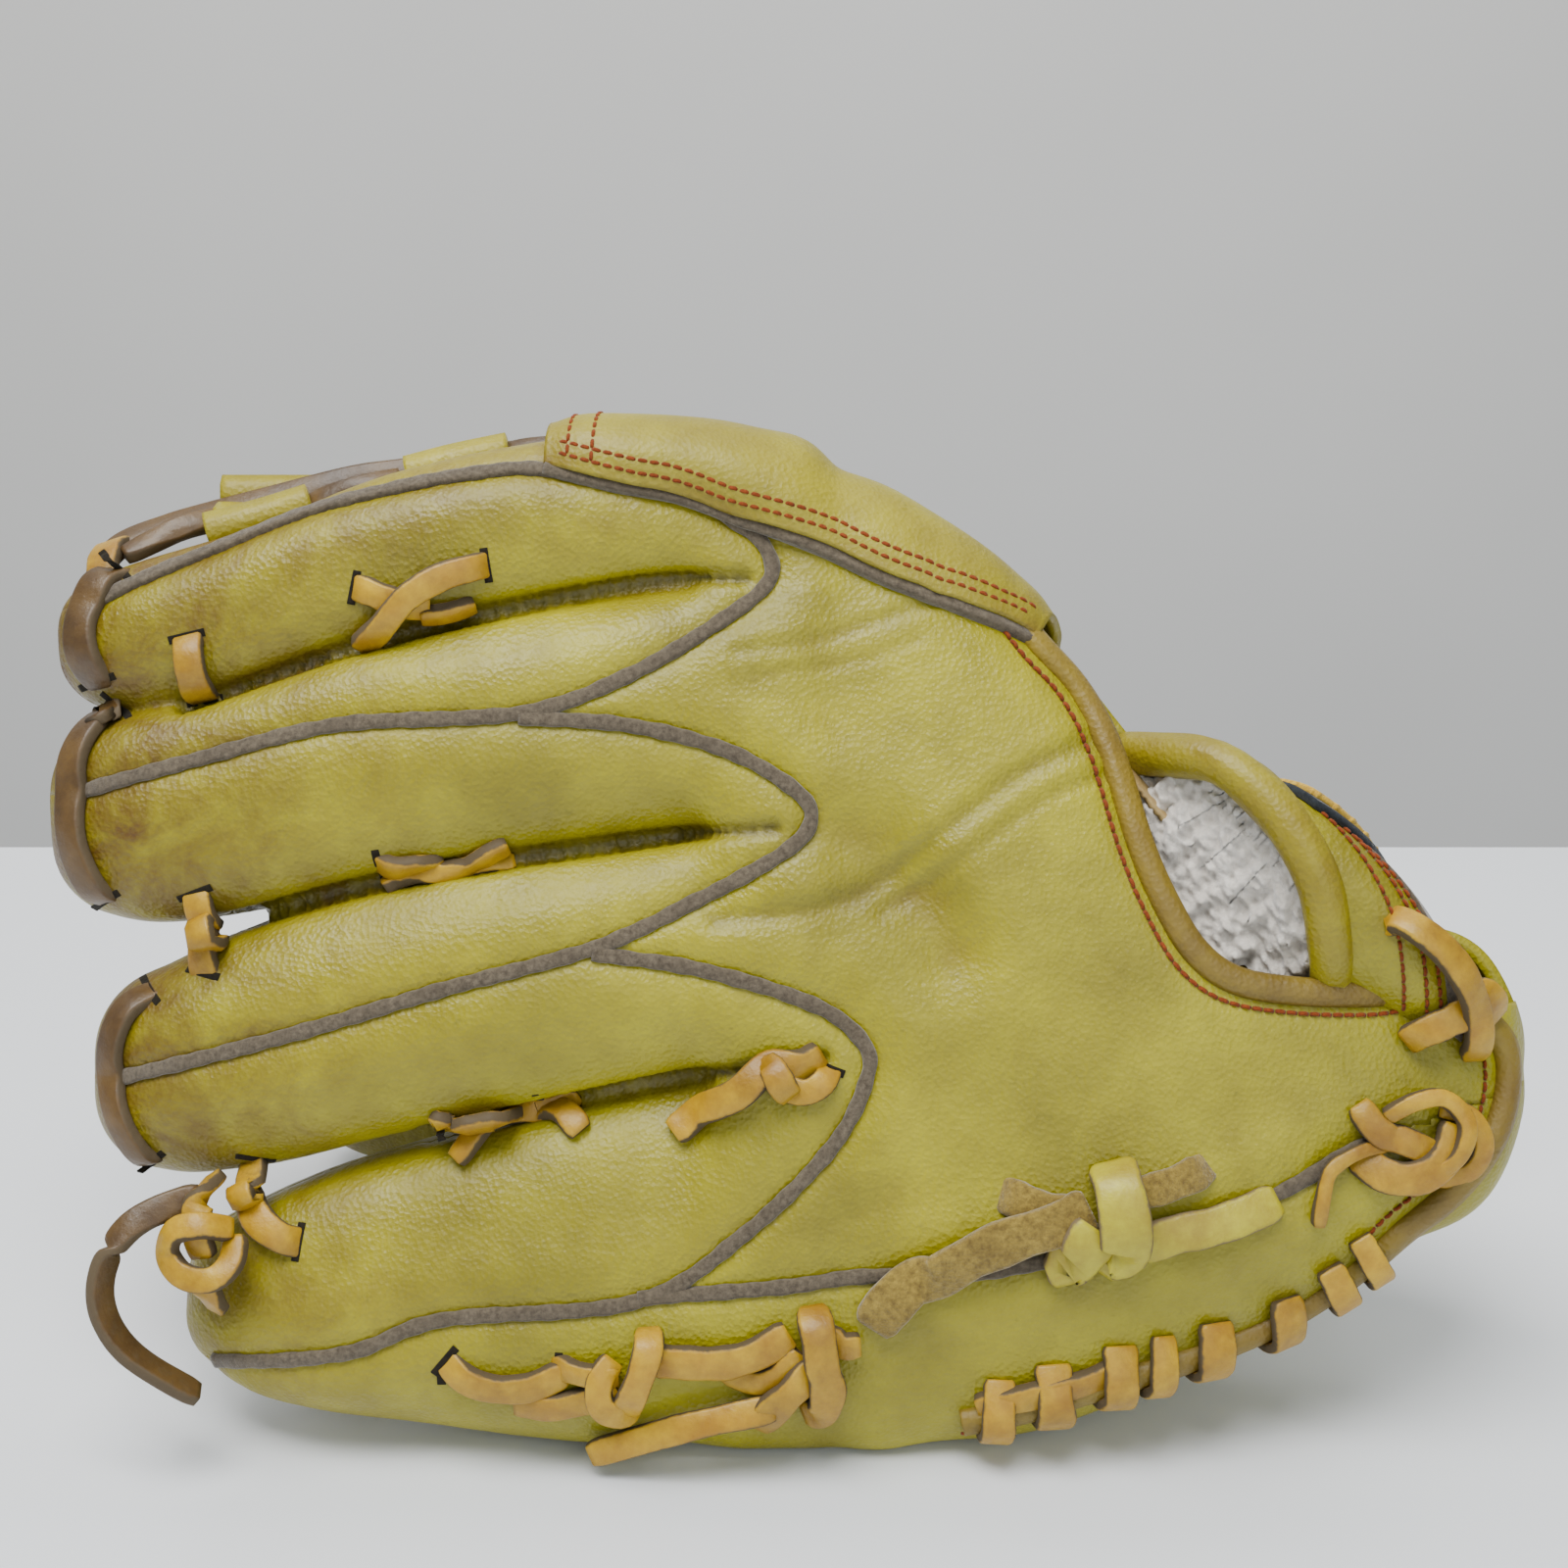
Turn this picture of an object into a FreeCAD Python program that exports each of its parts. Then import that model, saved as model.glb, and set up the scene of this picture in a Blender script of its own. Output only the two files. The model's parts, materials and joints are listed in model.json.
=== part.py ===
import FreeCAD, Part
import math
import os

# Baseball fielding glove for the left hand, standing closed on its little-finger edge and its thumb edge.
# Each side is drawn in a flat frame of its own: x runs from the fingertips to the wrist, y runs from the
# table up to the fold, and z runs out of the hand back (finger side) or into the pocket (thumb side).

V = FreeCAD.Vector
OUTWARD = V(0, 0, 1)

# Driving dimensions in millimetres and degrees, each a cell of the sheet.
SIZES = {
    "leather": 3.0,
    "lining": 1.5,
    "padding": 6.0,
    "welt_width": 2.4,
    "welt_proud": 0.8,
    "binding_width": 5.0,
    "lace_thick": 3.0,
    "finger_split": 17.7,
    "thumb_split": 6.7,
    "finger_lean": 20.0,
    "thumb_lean": 10.0,
    "fold_y": 96.0,
    "fold_z": 190.0,
    "tail_diameter": 5.0,
    "web_bar_width": 22.0,
    "web_bar_thick": 3.0,
    "web_roll_radius": 4.5,
}

# Stations of each hollow limb: along, across, half width, depth, half thickness.
FINGERS = {
    "index": [(4, 192, 13, -22, 12.5), (-30, 194, 14.5, -18, 14), (-80, 186, 16.5, -18, 15),
              (-120, 172.5, 16, -22, 14.5), (-142, 168, 12, -26, 11.5), (-150, 167, 7.5, -27, 6.5)],
    "middle": [(4, 155, 24, -19, 17), (-30, 152, 24.5, -16, 16), (-80, 144, 24, -15, 16),
               (-120, 133, 22.5, -18, 15.5), (-142, 131, 17, -22, 12.5), (-151, 131, 8.5, -24, 6.5)],
    "ring": [(4, 105, 23, -19, 17), (-30, 100.5, 24, -15, 16), (-80, 92, 25.5, -15, 16),
             (-112, 83, 24.5, -18, 15.5), (-133, 78, 18, -21, 12.5), (-142, 77, 9, -23, 6.5)],
    "pinky": [(4, 41, 40, -22, 19), (-30, 37, 38, -20, 18), (-75, 33, 29.5, -20, 17),
              (-100, 31, 23, -21, 15.5), (-116, 30, 15.5, -22, 12), (-123, 30, 8, -23, 6.5)],
}
HAND = [(-14, 103, 104.5, -21, 20), (50, 88, 88, -23, 24), (90, 73, 57, -24, 25),
        (130, 73, 33, -22, 19), (150, 74, 16, -20, 9)]
THUMB = [(4, -160, 43, -10, 18), (-60, -174, 27.5, -10, 17), (-95, -177, 23, -10, 15.5),
         (-113, -178, 16, -10, 12), (-121, -178, 8, -10, 6.5)]
HEEL = [(-14, -130, 73, -10, 19), (35, -120, 82, -10, 19), (90, -140, 47, -10, 18),
        (130, -140, 30, -10, 15), (148, -138, 16, -10, 8.5)]
STATION_WORDS = ("along", "across", "half_width", "depth", "half_thick")

# Seam lines on the hand back and the thumb, as points of a smooth curve from end to end.
SEAMS = {
    "index_middle_welt": [(-160, 168), (-120, 186), (-80, 200), (-49, 203), (-20, 197), (-5, 188), (-3, 180),
                          (-12, 172), (-32, 160), (-54, 152.5), (-91, 150), (-160, 132)],
    "middle_ring_welt": [(-56, 151.5), (-32, 150), (-12, 145), (2, 137), (5.5, 131), (0, 124), (-20, 113),
                         (-39, 104.5), (-70, 96), (-100, 87), (-155, 73)],
    "ring_pinky_welt": [(-41, 103.5), (-16, 100), (6, 93), (16, 85.5), (17, 78), (10, 64), (-8, 46), (-30, 32),
                        (-70, 28), (-90, 21), (-135, 13)],
    "heel_welt": [(-31, 32), (0, 35), (40, 38), (60, 42), (90, 50), (114, 62), (160, 72)],
    "wrist_binding": [(38, 225), (45, 190), (61, 158), (67, 146), (73, 126), (78, 114), (84, 104), (92, 98),
                      (104, 95.6), (120, 95), (133, 96), (160, 97)],
}
# The leather along the index finger that faces the web, as the corners of the box it fills.
WEB_SIDE_LOW = (-160, 192.7, -60)
WEB_SIDE_HIGH = (-15.7, 232.7)
THUMB_SEAM = [(-130, -182), (-60, -180), (10, -172), (70, -158), (110, -152), (160, -147)]

# One point inside each back panel, which tells the panels apart after the seams have cut them.
PANELS = {
    "index_middle_gusset": (-60, 190),
    "middle_ring_gusset": (-60, 130),
    "ring_pinky_gusset": (-60, 48),
    "hand_back_panel": (50, 100),
    "pinky_outer_panel": (40, 15),
}
# Outline of the guard over the index finger.
PAD_OUTLINE = [(-49, 203), (-20, 197), (0, 186), (26, 172), (51, 162), (55, 167), (40, 178), (20, 190),
               (0, 200), (-20, 206.5), (-45, 207)]

# Laces and straps follow the leather in two layers: layer, width, limbs they lie on, points of their line.
TRIMS = {
    "index_tip_lace": [(1, 7, ["index"], [(-138, 184), (-147, 171), (-144, 154)])],
    "middle_tip_lace": [(1, 7, ["middle"], [(-138, 153), (-147, 138), (-147, 124), (-139, 110)])],
    "ring_tip_lace": [(1, 7, ["ring"], [(-132, 97), (-139, 80), (-137, 68), (-128, 56)])],
    "pinky_tip_knot": [(1, 8, ["pinky"], [(-108, 49), (-116, 39), (-114, 27)])],
    "index_middle_link": [(1, 7, ["index", "middle"], [(-123, 168), (-122, 150)])],
    "middle_ring_link": [(1, 7, ["middle", "ring"], [(-120, 118), (-119, 97)])],
    "ring_pinky_link": [(1, 7, ["ring", "pinky"], [(-106, 68), (-101, 42)])],
    "index_middle_knot": [(1, 8, ["index", "middle"], [(-88, 174), (-62, 180)])],
    "middle_ring_knot": [(1, 7, ["middle", "ring"], [(-83, 117), (-58, 124)])],
    "ring_pinky_knot": [(1, 8, ["ring", "pinky"], [(-70, 63), (-40, 72)])],
    "crotch_lace": [(1, 7, ["hand"], [(-9, 72), (2, 76), (12, 79)])],
    "pinky_side_lace": [(1, 7, ["pinky", "hand"], [(-71, 15), (-56, 18), (-29, 18), (-12, 21), (6, 24), (18, 23)])],
    "pinky_side_knots": [(2, 8, ["pinky"], [(-29, 27), (-29, 8)]), (2, 8, ["hand"], [(9, 32), (10, 9)])],
    "pinky_loop_strap": [(1, 8, ["hand"], [(20, 29), (35, 43), (50, 52), (70, 57), (88, 60)])],
    "pinky_loop_knot": [(2, 9, ["hand"], [(71, 66), (68, 42)])],
    "heel_knot": [(1, 9, ["hand"], [(110, 56), (126, 62), (142, 66)])],
    "heel_lace": [(1, 8, ["hand"], [(37, 8), (66, 17), (86, 27), (103, 38), (114, 46)])],
    "wrist_lace": [(1, 6, ["hand"], [(120, 100), (131, 93), (139, 79)])],
}
# The soft strap over the open wrist, as stations: place of the middle, half width, half thickness.
STRAP = [((122, 97, 6), 21, 1.8), ((116, 112, 5), 20, 1.8), ((108, 126, 0), 19, 1.8),
         ((103, 136, -9), 18, 1.8), ((100, 141, -20), 18, 1.8), ((101, 141, -32), 18, 1.8),
         ((104, 138, -42), 18, 1.8)]
STRAP_WIDTHWAYS = V(1, -0.25, 0)
# The web, in the thumb side's frame: where each bar stands and how far down it reaches.
WEB_BARS = [(-111, -156), (-69, -143), (-27, -127)]
WEB_TOP = -22
WEB_BAR_BACK = -5
WEB_SPINE = (-124, -94, -16, -78)
WEB_THUMB_LACE = (-122, -124, -42, -118)
# The rolls on the index finger that the bars lace to: how high up each lies, and their depth.
WEB_ROLLS = (197, 207, 212)
WEB_ROLL_DEPTH = -30
# Routes of the two free lace ends.
TAIL_ROUTES = {
    "pinky_tip_tail": [(-120, 53, -4), (-130, 51, -1), (-137.5, 44, 1), (-140, 34, 2), (-136.5, 24.5, 1),
                       (-129, 17.5, -1), (-121, 12, -5)],
    "pinky_side_tail": [(-2, 10, -2), (-15, 7.5, -2), (-28, 3.5, -4), (-40, -1, -8)],
}

doc = FreeCAD.newDocument("fielding_glove")
sheet = doc.addObject("Spreadsheet::Sheet", "Sizes")
pieces = {}


def fill_sheet():
    row = 0
    for alias, value in SIZES.items():
        row += 1
        put(row, alias, value)
    limbs = dict(FINGERS, hand=HAND, thumb=THUMB, heel=HEEL)
    for limb, stations in limbs.items():
        for number, station in enumerate(stations):
            for word, value in zip(STATION_WORDS, station):
                row += 1
                put(row, f"{limb}_station{number}_{word}", value)
    doc.recompute()


def put(row, alias, value):
    sheet.set(f"A{row}", alias)
    sheet.set(f"B{row}", str(value))
    sheet.setAlias(f"B{row}", alias)


def size(alias):
    return sheet.get(alias)


def side_frame(side):
    """Placement of a side's flat frame in the glove's own frame."""
    if side == "finger":
        return FreeCAD.Placement(V(0, 0, 0), FreeCAD.Rotation(V(1, 0, 0), 90 - size("finger_lean")))
    lean = FreeCAD.Rotation(V(1, 0, 0), 90 + size("thumb_lean"))
    return FreeCAD.Placement(V(0, size("fold_y"), size("fold_z")), lean)


def limb_loft(limb, count, grow, name):
    """Closed limb through its elliptical stations, grown or shrunk all round by a sheet expression."""
    across_limb = FreeCAD.Rotation(V(1, 1, 1), 120)
    ends = {0: "-", count - 1: "+"} if limb in ("hand", "heel") else {count - 1: "-"}
    sections = []
    for number in range(count):
        cell = f"Sizes.{limb}_station{number}_"
        ring = doc.addObject("Part::Ellipse", f"{name}_station{number}")
        ring.setExpression("MajorRadius", f"{cell}half_width + ({grow})")
        ring.setExpression("MinorRadius", f"{cell}half_thick + ({grow})")
        ring.Placement = FreeCAD.Placement(V(0, 0, 0), across_limb)
        shift = f" {ends[number]} ({grow})" if number in ends else ""
        ring.setExpression("Placement.Base.x", f"{cell}along{shift}")
        ring.setExpression("Placement.Base.y", f"{cell}across")
        ring.setExpression("Placement.Base.z", f"{cell}depth")
        sections.append(ring)
    loft = doc.addObject("Part::Loft", name)
    loft.Sections = sections
    loft.Solid = True
    loft.Ruled = True
    return loft


def join(name, shapes):
    fused = doc.addObject("Part::MultiFuse", name)
    fused.Shapes = shapes
    return fused


def cut(name, base, tool):
    result = doc.addObject("Part::Cut", name)
    result.Base = base
    result.Tool = tool
    return result


def meet(name, first, second):
    common = doc.addObject("Part::MultiCommon", name)
    common.Shapes = [first, second]
    return common


def block(name, low, high):
    box = doc.addObject("Part::Box", name)
    box.Length, box.Width, box.Height = (b - a for a, b in zip(low, high))
    box.Placement.Base = V(*low)
    return box


def prism(name, edges):
    """Closed outline drawn in a sketch and extruded both ways through the glove's thickness."""
    sketch = doc.addObject("Sketcher::SketchObject", f"{name}_outline")
    for edge in edges:
        sketch.addGeometry(edge, False)
    solid = doc.addObject("Part::Extrusion", name)
    solid.Base = sketch
    solid.DirMode = "Custom"
    solid.Dir = OUTWARD
    solid.LengthFwd = 60
    solid.LengthRev = 60
    solid.Solid = True
    return solid


def smooth(points):
    curve = Part.BSplineCurve()
    curve.interpolate([V(x, y, 0) for x, y in points])
    return curve


def ribbon(name, points, width):
    """Strip of even width along a smooth seam line."""
    line = smooth(points)
    steps = 6 * len(points)
    sides = {1: [], -1: []}
    for step in range(steps + 1):
        at = line.FirstParameter + (line.LastParameter - line.FirstParameter) * step / steps
        normal = line.tangent(at)[0].cross(OUTWARD)
        for way in sides:
            spot = line.value(at) + normal * (way * width / 2)
            sides[way].append((spot.x, spot.y))
    left, right = smooth(sides[1]), smooth(sides[-1])
    ends = [Part.LineSegment(right.EndPoint, left.EndPoint), Part.LineSegment(left.StartPoint, right.StartPoint)]
    return prism(name, [left, ends[0], right, ends[1]])


def keep(name, shape, side):
    """Take a finished solid of one side as a node of its own."""
    shape.Label = name
    shape.Placement = side_frame(side).multiply(shape.Placement)
    pieces[name] = shape
    return shape


def solid_at(name, source, x, y, side):
    """The one solid of a cut shape that a line through (x, y) meets."""
    line = Part.makeLine(V(x, y, -60), V(x, y, 60))
    found = [s for s in source.Shape.Solids if s.distToShape(line)[0] < 1e-6]
    feature = doc.addObject("Part::Feature", name)
    feature.Shape = max(found, key=lambda s: s.Volume)
    return keep(name, feature, side)


def half_space(name, side, upper):
    split = size(f"{side}_split")
    low = -split if upper else -200
    return block(name, (-200, -260, low), (200, 260, 200 if upper else -split))


def limb_set(limbs, grow, label):
    parts = [limb_loft(limb, len(stations), grow, f"{limb}_{label}") for limb, stations in limbs.items()]
    return parts, join(f"{label}_union", parts)


def build_finger_side():
    limbs = dict(FINGERS, hand=HAND)
    outer_parts, outer = limb_set(limbs, "0", "outer")
    mid_parts, mid = limb_set(limbs, "-Sizes.leather", "mid")
    inner_parts = limb_set(limbs, "-Sizes.leather - Sizes.lining", "inner")[0]
    _, proud = limb_set(limbs, "Sizes.welt_proud", "proud")
    above = half_space("hand_back_half", "finger", True)
    below = half_space("palm_half", "finger", False)
    web_side = block("index_web_side", WEB_SIDE_LOW, (*WEB_SIDE_HIGH, -size("finger_split")))
    index_side = meet("index_side", outer_parts[0], web_side)
    keep("index_web_side_panel", cut("index_web_side_panel", index_side, mid_parts[0]), "finger")
    palm_parts = [cut("index_without_web_side", outer_parts[0], web_side)] + outer_parts[1:]
    palm_side = meet("palm_side", join("palm_union", palm_parts), below)
    keep("palm_leather", cut("palm_leather", palm_side, mid), "finger")
    split = cut("back_shell", meet("back_side", outer, above), mid)
    proud_shell = cut("proud_shell", meet("proud_side", proud, above), mid)
    earlier = []
    for name, points in SEAMS.items():
        width = size("binding_width") if name == "wrist_binding" else size("welt_width")
        strip = ribbon(f"{name}_strip", points, width)
        split = cut(f"back_without_{name}", split, strip)
        seated = meet(f"{name}_seated", proud_shell, strip)
        for before in earlier[-2:]:
            seated = cut(f"{name}_without_{before.Name}", seated, before)
        earlier.append(strip)
        keep(name, seated, "finger")
    doc.recompute()
    for name, (x, y) in PANELS.items():
        solid_at(name, split, x, y, "finger")
    build_linings(mid_parts, inner_parts, above, below)
    build_trims()


def build_linings(mid_parts, inner_parts, above, below):
    hand_mid = mid_parts[-1]
    bores = inner_parts[:-1]
    for finger, whole, bore in zip(FINGERS, mid_parts, bores):
        tube = cut(f"{finger}_tube", whole, bore)
        keep(f"{finger}_stall_lining", cut(f"{finger}_lining_cut", tube, hand_mid), "finger")
    opening = prism("wrist_opening", wrist_opening_edges())
    back = cut_all("hand_back_lining", meet("hand_lining_half", hand_mid, above), [inner_parts[-1], opening] + bores)
    keep("hand_back_lining", back, "finger")
    grows = ["-Sizes.leather - Sizes.padding", "-Sizes.leather - Sizes.padding - Sizes.lining"]
    padded, lined = (limb_loft("hand", len(HAND) - 1, grow, f"hand_palm_layer{n}") for n, grow in enumerate(grows))
    padding = cut_all("palm_padding", meet("palm_padding_half", hand_mid, below), [padded] + bores)
    keep("palm_padding", padding, "finger")
    keep("palm_lining", cut_all("palm_lining", meet("palm_lining_half", padded, below), [lined] + bores), "finger")


def cut_all(name, base, tools):
    for number, tool in enumerate(tools):
        base = cut(f"{name}_cut{number}", base, tool)
    return base


def wrist_opening_edges():
    """The open area above the wrist binding, closed far outside the glove."""
    binding = smooth(SEAMS["wrist_binding"])
    corner = V(binding.EndPoint.x, binding.StartPoint.y, 0)
    return [binding, Part.LineSegment(binding.EndPoint, corner), Part.LineSegment(corner, binding.StartPoint)]


def build_trims():
    """Laces and straps as strips that follow the leather of the limbs they lie on."""
    above = half_space("trim_half", "finger", True)
    low = ["Sizes.welt_proud + 0.1", "Sizes.welt_proud + 0.3 + Sizes.lace_thick"]
    layers = {}
    for layer, level in enumerate(low, 1):
        for limb, stations in dict(FINGERS, hand=HAND).items():
            count = len(stations)
            top = limb_loft(limb, count, f"{level} + Sizes.lace_thick", f"{limb}_layer{layer}_top")
            under = limb_loft(limb, count, level, f"{limb}_layer{layer}_under")
            layers[layer, limb] = (meet(f"{limb}_layer{layer}_half", top, above), under)
    for name, strips in TRIMS.items():
        parts = [fit_strip(f"{name}_part{n}", *strip, layers) for n, strip in enumerate(strips)]
        keep(name, join(f"{name}_all", parts) if len(parts) > 1 else parts[0], "finger")
    pad_area = prism("finger_pad_area", [smooth_closed(PAD_OUTLINE)])
    pad = fit("finger_pad", pad_area, 1, ["index", "hand"], layers)
    keep("finger_pad", pad, "finger")


def fit_strip(name, layer, width, limbs, points, layers):
    return fit(name, ribbon(f"{name}_strip", points, width), layer, limbs, layers)


def fit(name, area, layer, limbs, layers):
    """The part of a layer over the named limbs that lies within an upright area."""
    parts = [meet(f"{name}_{limb}", layers[layer, limb][0], area) for limb in limbs]
    whole = join(f"{name}_whole", parts) if len(parts) > 1 else parts[0]
    return cut_all(name, whole, [layers[layer, limb][1] for limb in limbs])


def smooth_closed(points):
    curve = Part.BSplineCurve()
    curve.interpolate([V(x, y, 0) for x, y in points], PeriodicFlag=True)
    return curve


def build_thumb_side():
    limbs = {"thumb": THUMB, "heel": HEEL}
    _, outer = limb_set(limbs, "0", "thumb_outer")
    mid_parts, mid = limb_set(limbs, "-Sizes.leather", "thumb_mid")
    inner_parts = limb_set(limbs, "-Sizes.leather - Sizes.lining", "thumb_inner")[0]
    _, proud = limb_set(limbs, "Sizes.welt_proud", "thumb_proud")
    pocket = half_space("thumb_pocket_half", "thumb", True)
    outside = half_space("thumb_outside_half", "thumb", False)
    strip = ribbon("thumb_welt_strip", THUMB_SEAM, size("welt_width"))
    keep("thumb_palm_leather", cut("thumb_palm_leather", meet("thumb_palm", outer, pocket), mid), "thumb")
    seat = cut("thumb_proud_shell", meet("thumb_proud_side", proud, outside), mid)
    keep("thumb_welt", meet("thumb_welt", seat, strip), "thumb")
    shell = cut("thumb_shell", meet("thumb_outside", outer, outside), mid)
    split = cut("thumb_panels", shell, strip)
    doc.recompute()
    solid_at("thumb_back_panel", split, 40, -80, "thumb")
    solid_at("thumb_outer_panel", split, 40, -188, "thumb")
    lining = cut("thumb_lining", cut("thumb_tube", mid_parts[0], inner_parts[0]), mid_parts[1])
    keep("thumb_stall_lining", lining, "thumb")
    padded = limb_loft("heel", len(HEEL) - 1, "-Sizes.leather - Sizes.padding", "heel_padding_hollow")
    half = meet("thumb_padding_half", mid_parts[1], pocket)
    keep("thumb_palm_padding", cut_all("thumb_palm_padding", half, [padded, inner_parts[0]]), "thumb")


def band(name, stations, side, widthways):
    """Flat flexible band lofted through upright stations; each is square to the line of middles."""
    rings = []
    for number, (place, half_width, half_thick) in enumerate(stations):
        before = V(*stations[max(number - 1, 0)][0])
        after = V(*stations[min(number + 1, len(stations) - 1)][0])
        ring = doc.addObject("Part::Ellipse", f"{name}_ring{number}")
        ring.MajorRadius = half_width
        ring.MinorRadius = half_thick
        ring.Placement = FreeCAD.Placement(V(*place), FreeCAD.Rotation(widthways, V(), after - before, "ZXY"))
        rings.append(ring)
    loft = doc.addObject("Part::Loft", name)
    loft.Sections = rings
    loft.Solid = True
    loft.Ruled = True
    return keep(name, loft, side)


def slab(name, low_x, low_y, high_x, high_y):
    """Flat leather standing in the middle plane of the web."""
    half = size("web_bar_thick") / 2
    return block(name, (low_x, low_y, -half), (high_x, high_y, half))


def web_bar(name, middle, low):
    bar = block(name, (middle, low, WEB_BAR_BACK), (middle + 1, WEB_TOP, 0))
    bar.setExpression("Length", "Sizes.web_bar_width")
    bar.setExpression("Height", "Sizes.web_bar_thick")
    bar.setExpression("Placement.Base.x", f"{middle} - Sizes.web_bar_width / 2")
    return bar


def web_roll(name, middle, across):
    roll = doc.addObject("Part::Cylinder", name)
    roll.setExpression("Height", "Sizes.web_bar_width")
    roll.setExpression("Radius", "Sizes.web_roll_radius")
    roll.Placement = FreeCAD.Placement(V(middle, across, WEB_ROLL_DEPTH), FreeCAD.Rotation(V(0, 1, 0), 90))
    roll.setExpression("Placement.Base.x", f"{middle} - Sizes.web_bar_width / 2")
    return roll


def build_web():
    """Three cross bars laced from the index finger down to the thumb, with a spine woven down their middle."""
    bars = [web_bar(f"web_bar{n}", middle, low) for n, (middle, low) in enumerate(WEB_BARS)]
    keep("web_cross_bars", join("web_cross_bars", bars), "thumb")
    keep("web_spine", slab("web_spine", *WEB_SPINE), "thumb")
    keep("web_thumb_lace", slab("web_thumb_lace", *WEB_THUMB_LACE), "thumb")
    rolls = [web_roll(f"web_roll{n}", middle, across)
             for n, ((middle, _), across) in enumerate(zip(WEB_BARS, WEB_ROLLS))]
    keep("web_tab_rolls", join("web_tab_rolls", rolls), "finger")


def beside(stations, along_width, outward, half_width, half_thick):
    """Stations of a band that keeps a fixed place beside or over another band."""
    moved = []
    for number, (place, _, _) in enumerate(stations):
        before = V(*stations[max(number - 1, 0)][0])
        after = V(*stations[min(number + 1, len(stations) - 1)][0])
        turn = FreeCAD.Rotation(STRAP_WIDTHWAYS, V(), after - before, "ZXY")
        spot = V(*place) + turn.multVec(V(along_width, -outward, 0))
        moved.append(((spot.x, spot.y, spot.z), half_width, half_thick))
    return moved


def build_wrist():
    """The strap over the back of the wrist with its padded edge, fleece, generic patch and felt band."""
    band("wrist_strap", STRAP, "finger", STRAP_WIDTHWAYS)
    band("strap_edge_roll", beside(STRAP, -24.5, 0, 3.6, 3.5)[:4], "finger", STRAP_WIDTHWAYS)
    band("strap_fleece", beside(STRAP, 0, -4.6, 17, 2.2), "finger", STRAP_WIDTHWAYS)
    band("label_patch", beside(STRAP, 2, 3.4, 11, 1.2)[3:6], "finger", STRAP_WIDTHWAYS)
    band("strap_stitch_band", beside(STRAP, 4, 3.8, 8, 1.2)[1:3], "finger", STRAP_WIDTHWAYS)


def tail(name, route):
    """Free lace end: straight runs joined by the largest tangent arcs that they allow."""
    points = [V(*p) for p in route]
    edges, start, radii = [], points[0], []
    for before, corner, after in zip(points, points[1:], points[2:]):
        back, ahead = before - corner, after - corner
        reach = 0.45 * min(back.Length, ahead.Length)
        turn = math.pi - back.getAngle(ahead)
        radii.append(reach / math.tan(turn / 2))
        first = corner + back.normalize() * reach
        last = corner + ahead.normalize() * reach
        toward = (back + ahead).normalize()
        middle = corner + toward * (radii[-1] / math.cos(turn / 2) - radii[-1])
        edges += [Part.LineSegment(start, first).toShape(), Part.Arc(first, middle, last).toShape()]
        start = last
    edges.append(Part.LineSegment(start, points[-1]).toShape())
    path = Part.Wire(edges)
    section = Part.Wire(Part.Circle(points[0], points[1] - points[0], size("tail_diameter") / 2).toShape())
    feature = doc.addObject("Part::Feature", name)
    feature.Shape = path.makePipeShell([section], True, False)
    print(name, "length", round(path.Length, 1), "radii", [round(r, 1) for r in radii])
    keep(name, feature, "finger")


def check_and_write():
    for item in doc.Objects:
        if "Invalid" in item.State or "Error" in item.State:
            raise RuntimeError(f"{item.Label} has failed")
    for name, piece in pieces.items():
        if piece.Shape.isNull() or not piece.Shape.isValid() or not piece.Shape.Solids:
            raise RuntimeError(f"{name} is not a valid solid")
    stand_on_origin()
    os.makedirs("parts", exist_ok=True)
    for name, piece in pieces.items():
        piece.Shape.exportStep(f"parts/{name}.step")
        print(name, len(piece.Shape.Solids), round(piece.Shape.Volume))


def stand_on_origin():
    """Move every piece so that the box of the glove, without its loose lace ends, stands centred on the origin."""
    bounds = FreeCAD.BoundBox()
    for name, piece in pieces.items():
        if name in TAIL_ROUTES:
            continue
        bounds.add(piece.Shape.optimalBoundingBox(False, False))
    home = FreeCAD.Placement(V(-bounds.Center.x, -bounds.Center.y, -bounds.ZMin), FreeCAD.Rotation())
    for piece in pieces.values():
        piece.Placement = home.multiply(piece.Placement)
    doc.recompute()
    print("origin moved by", home.Base, "box", bounds)


fill_sheet()
build_finger_side()
build_thumb_side()
build_web()
build_wrist()
for tail_name, tail_route in TAIL_ROUTES.items():
    tail(tail_name, tail_route)
doc.recompute()
check_and_write()
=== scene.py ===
import json
import math

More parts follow.
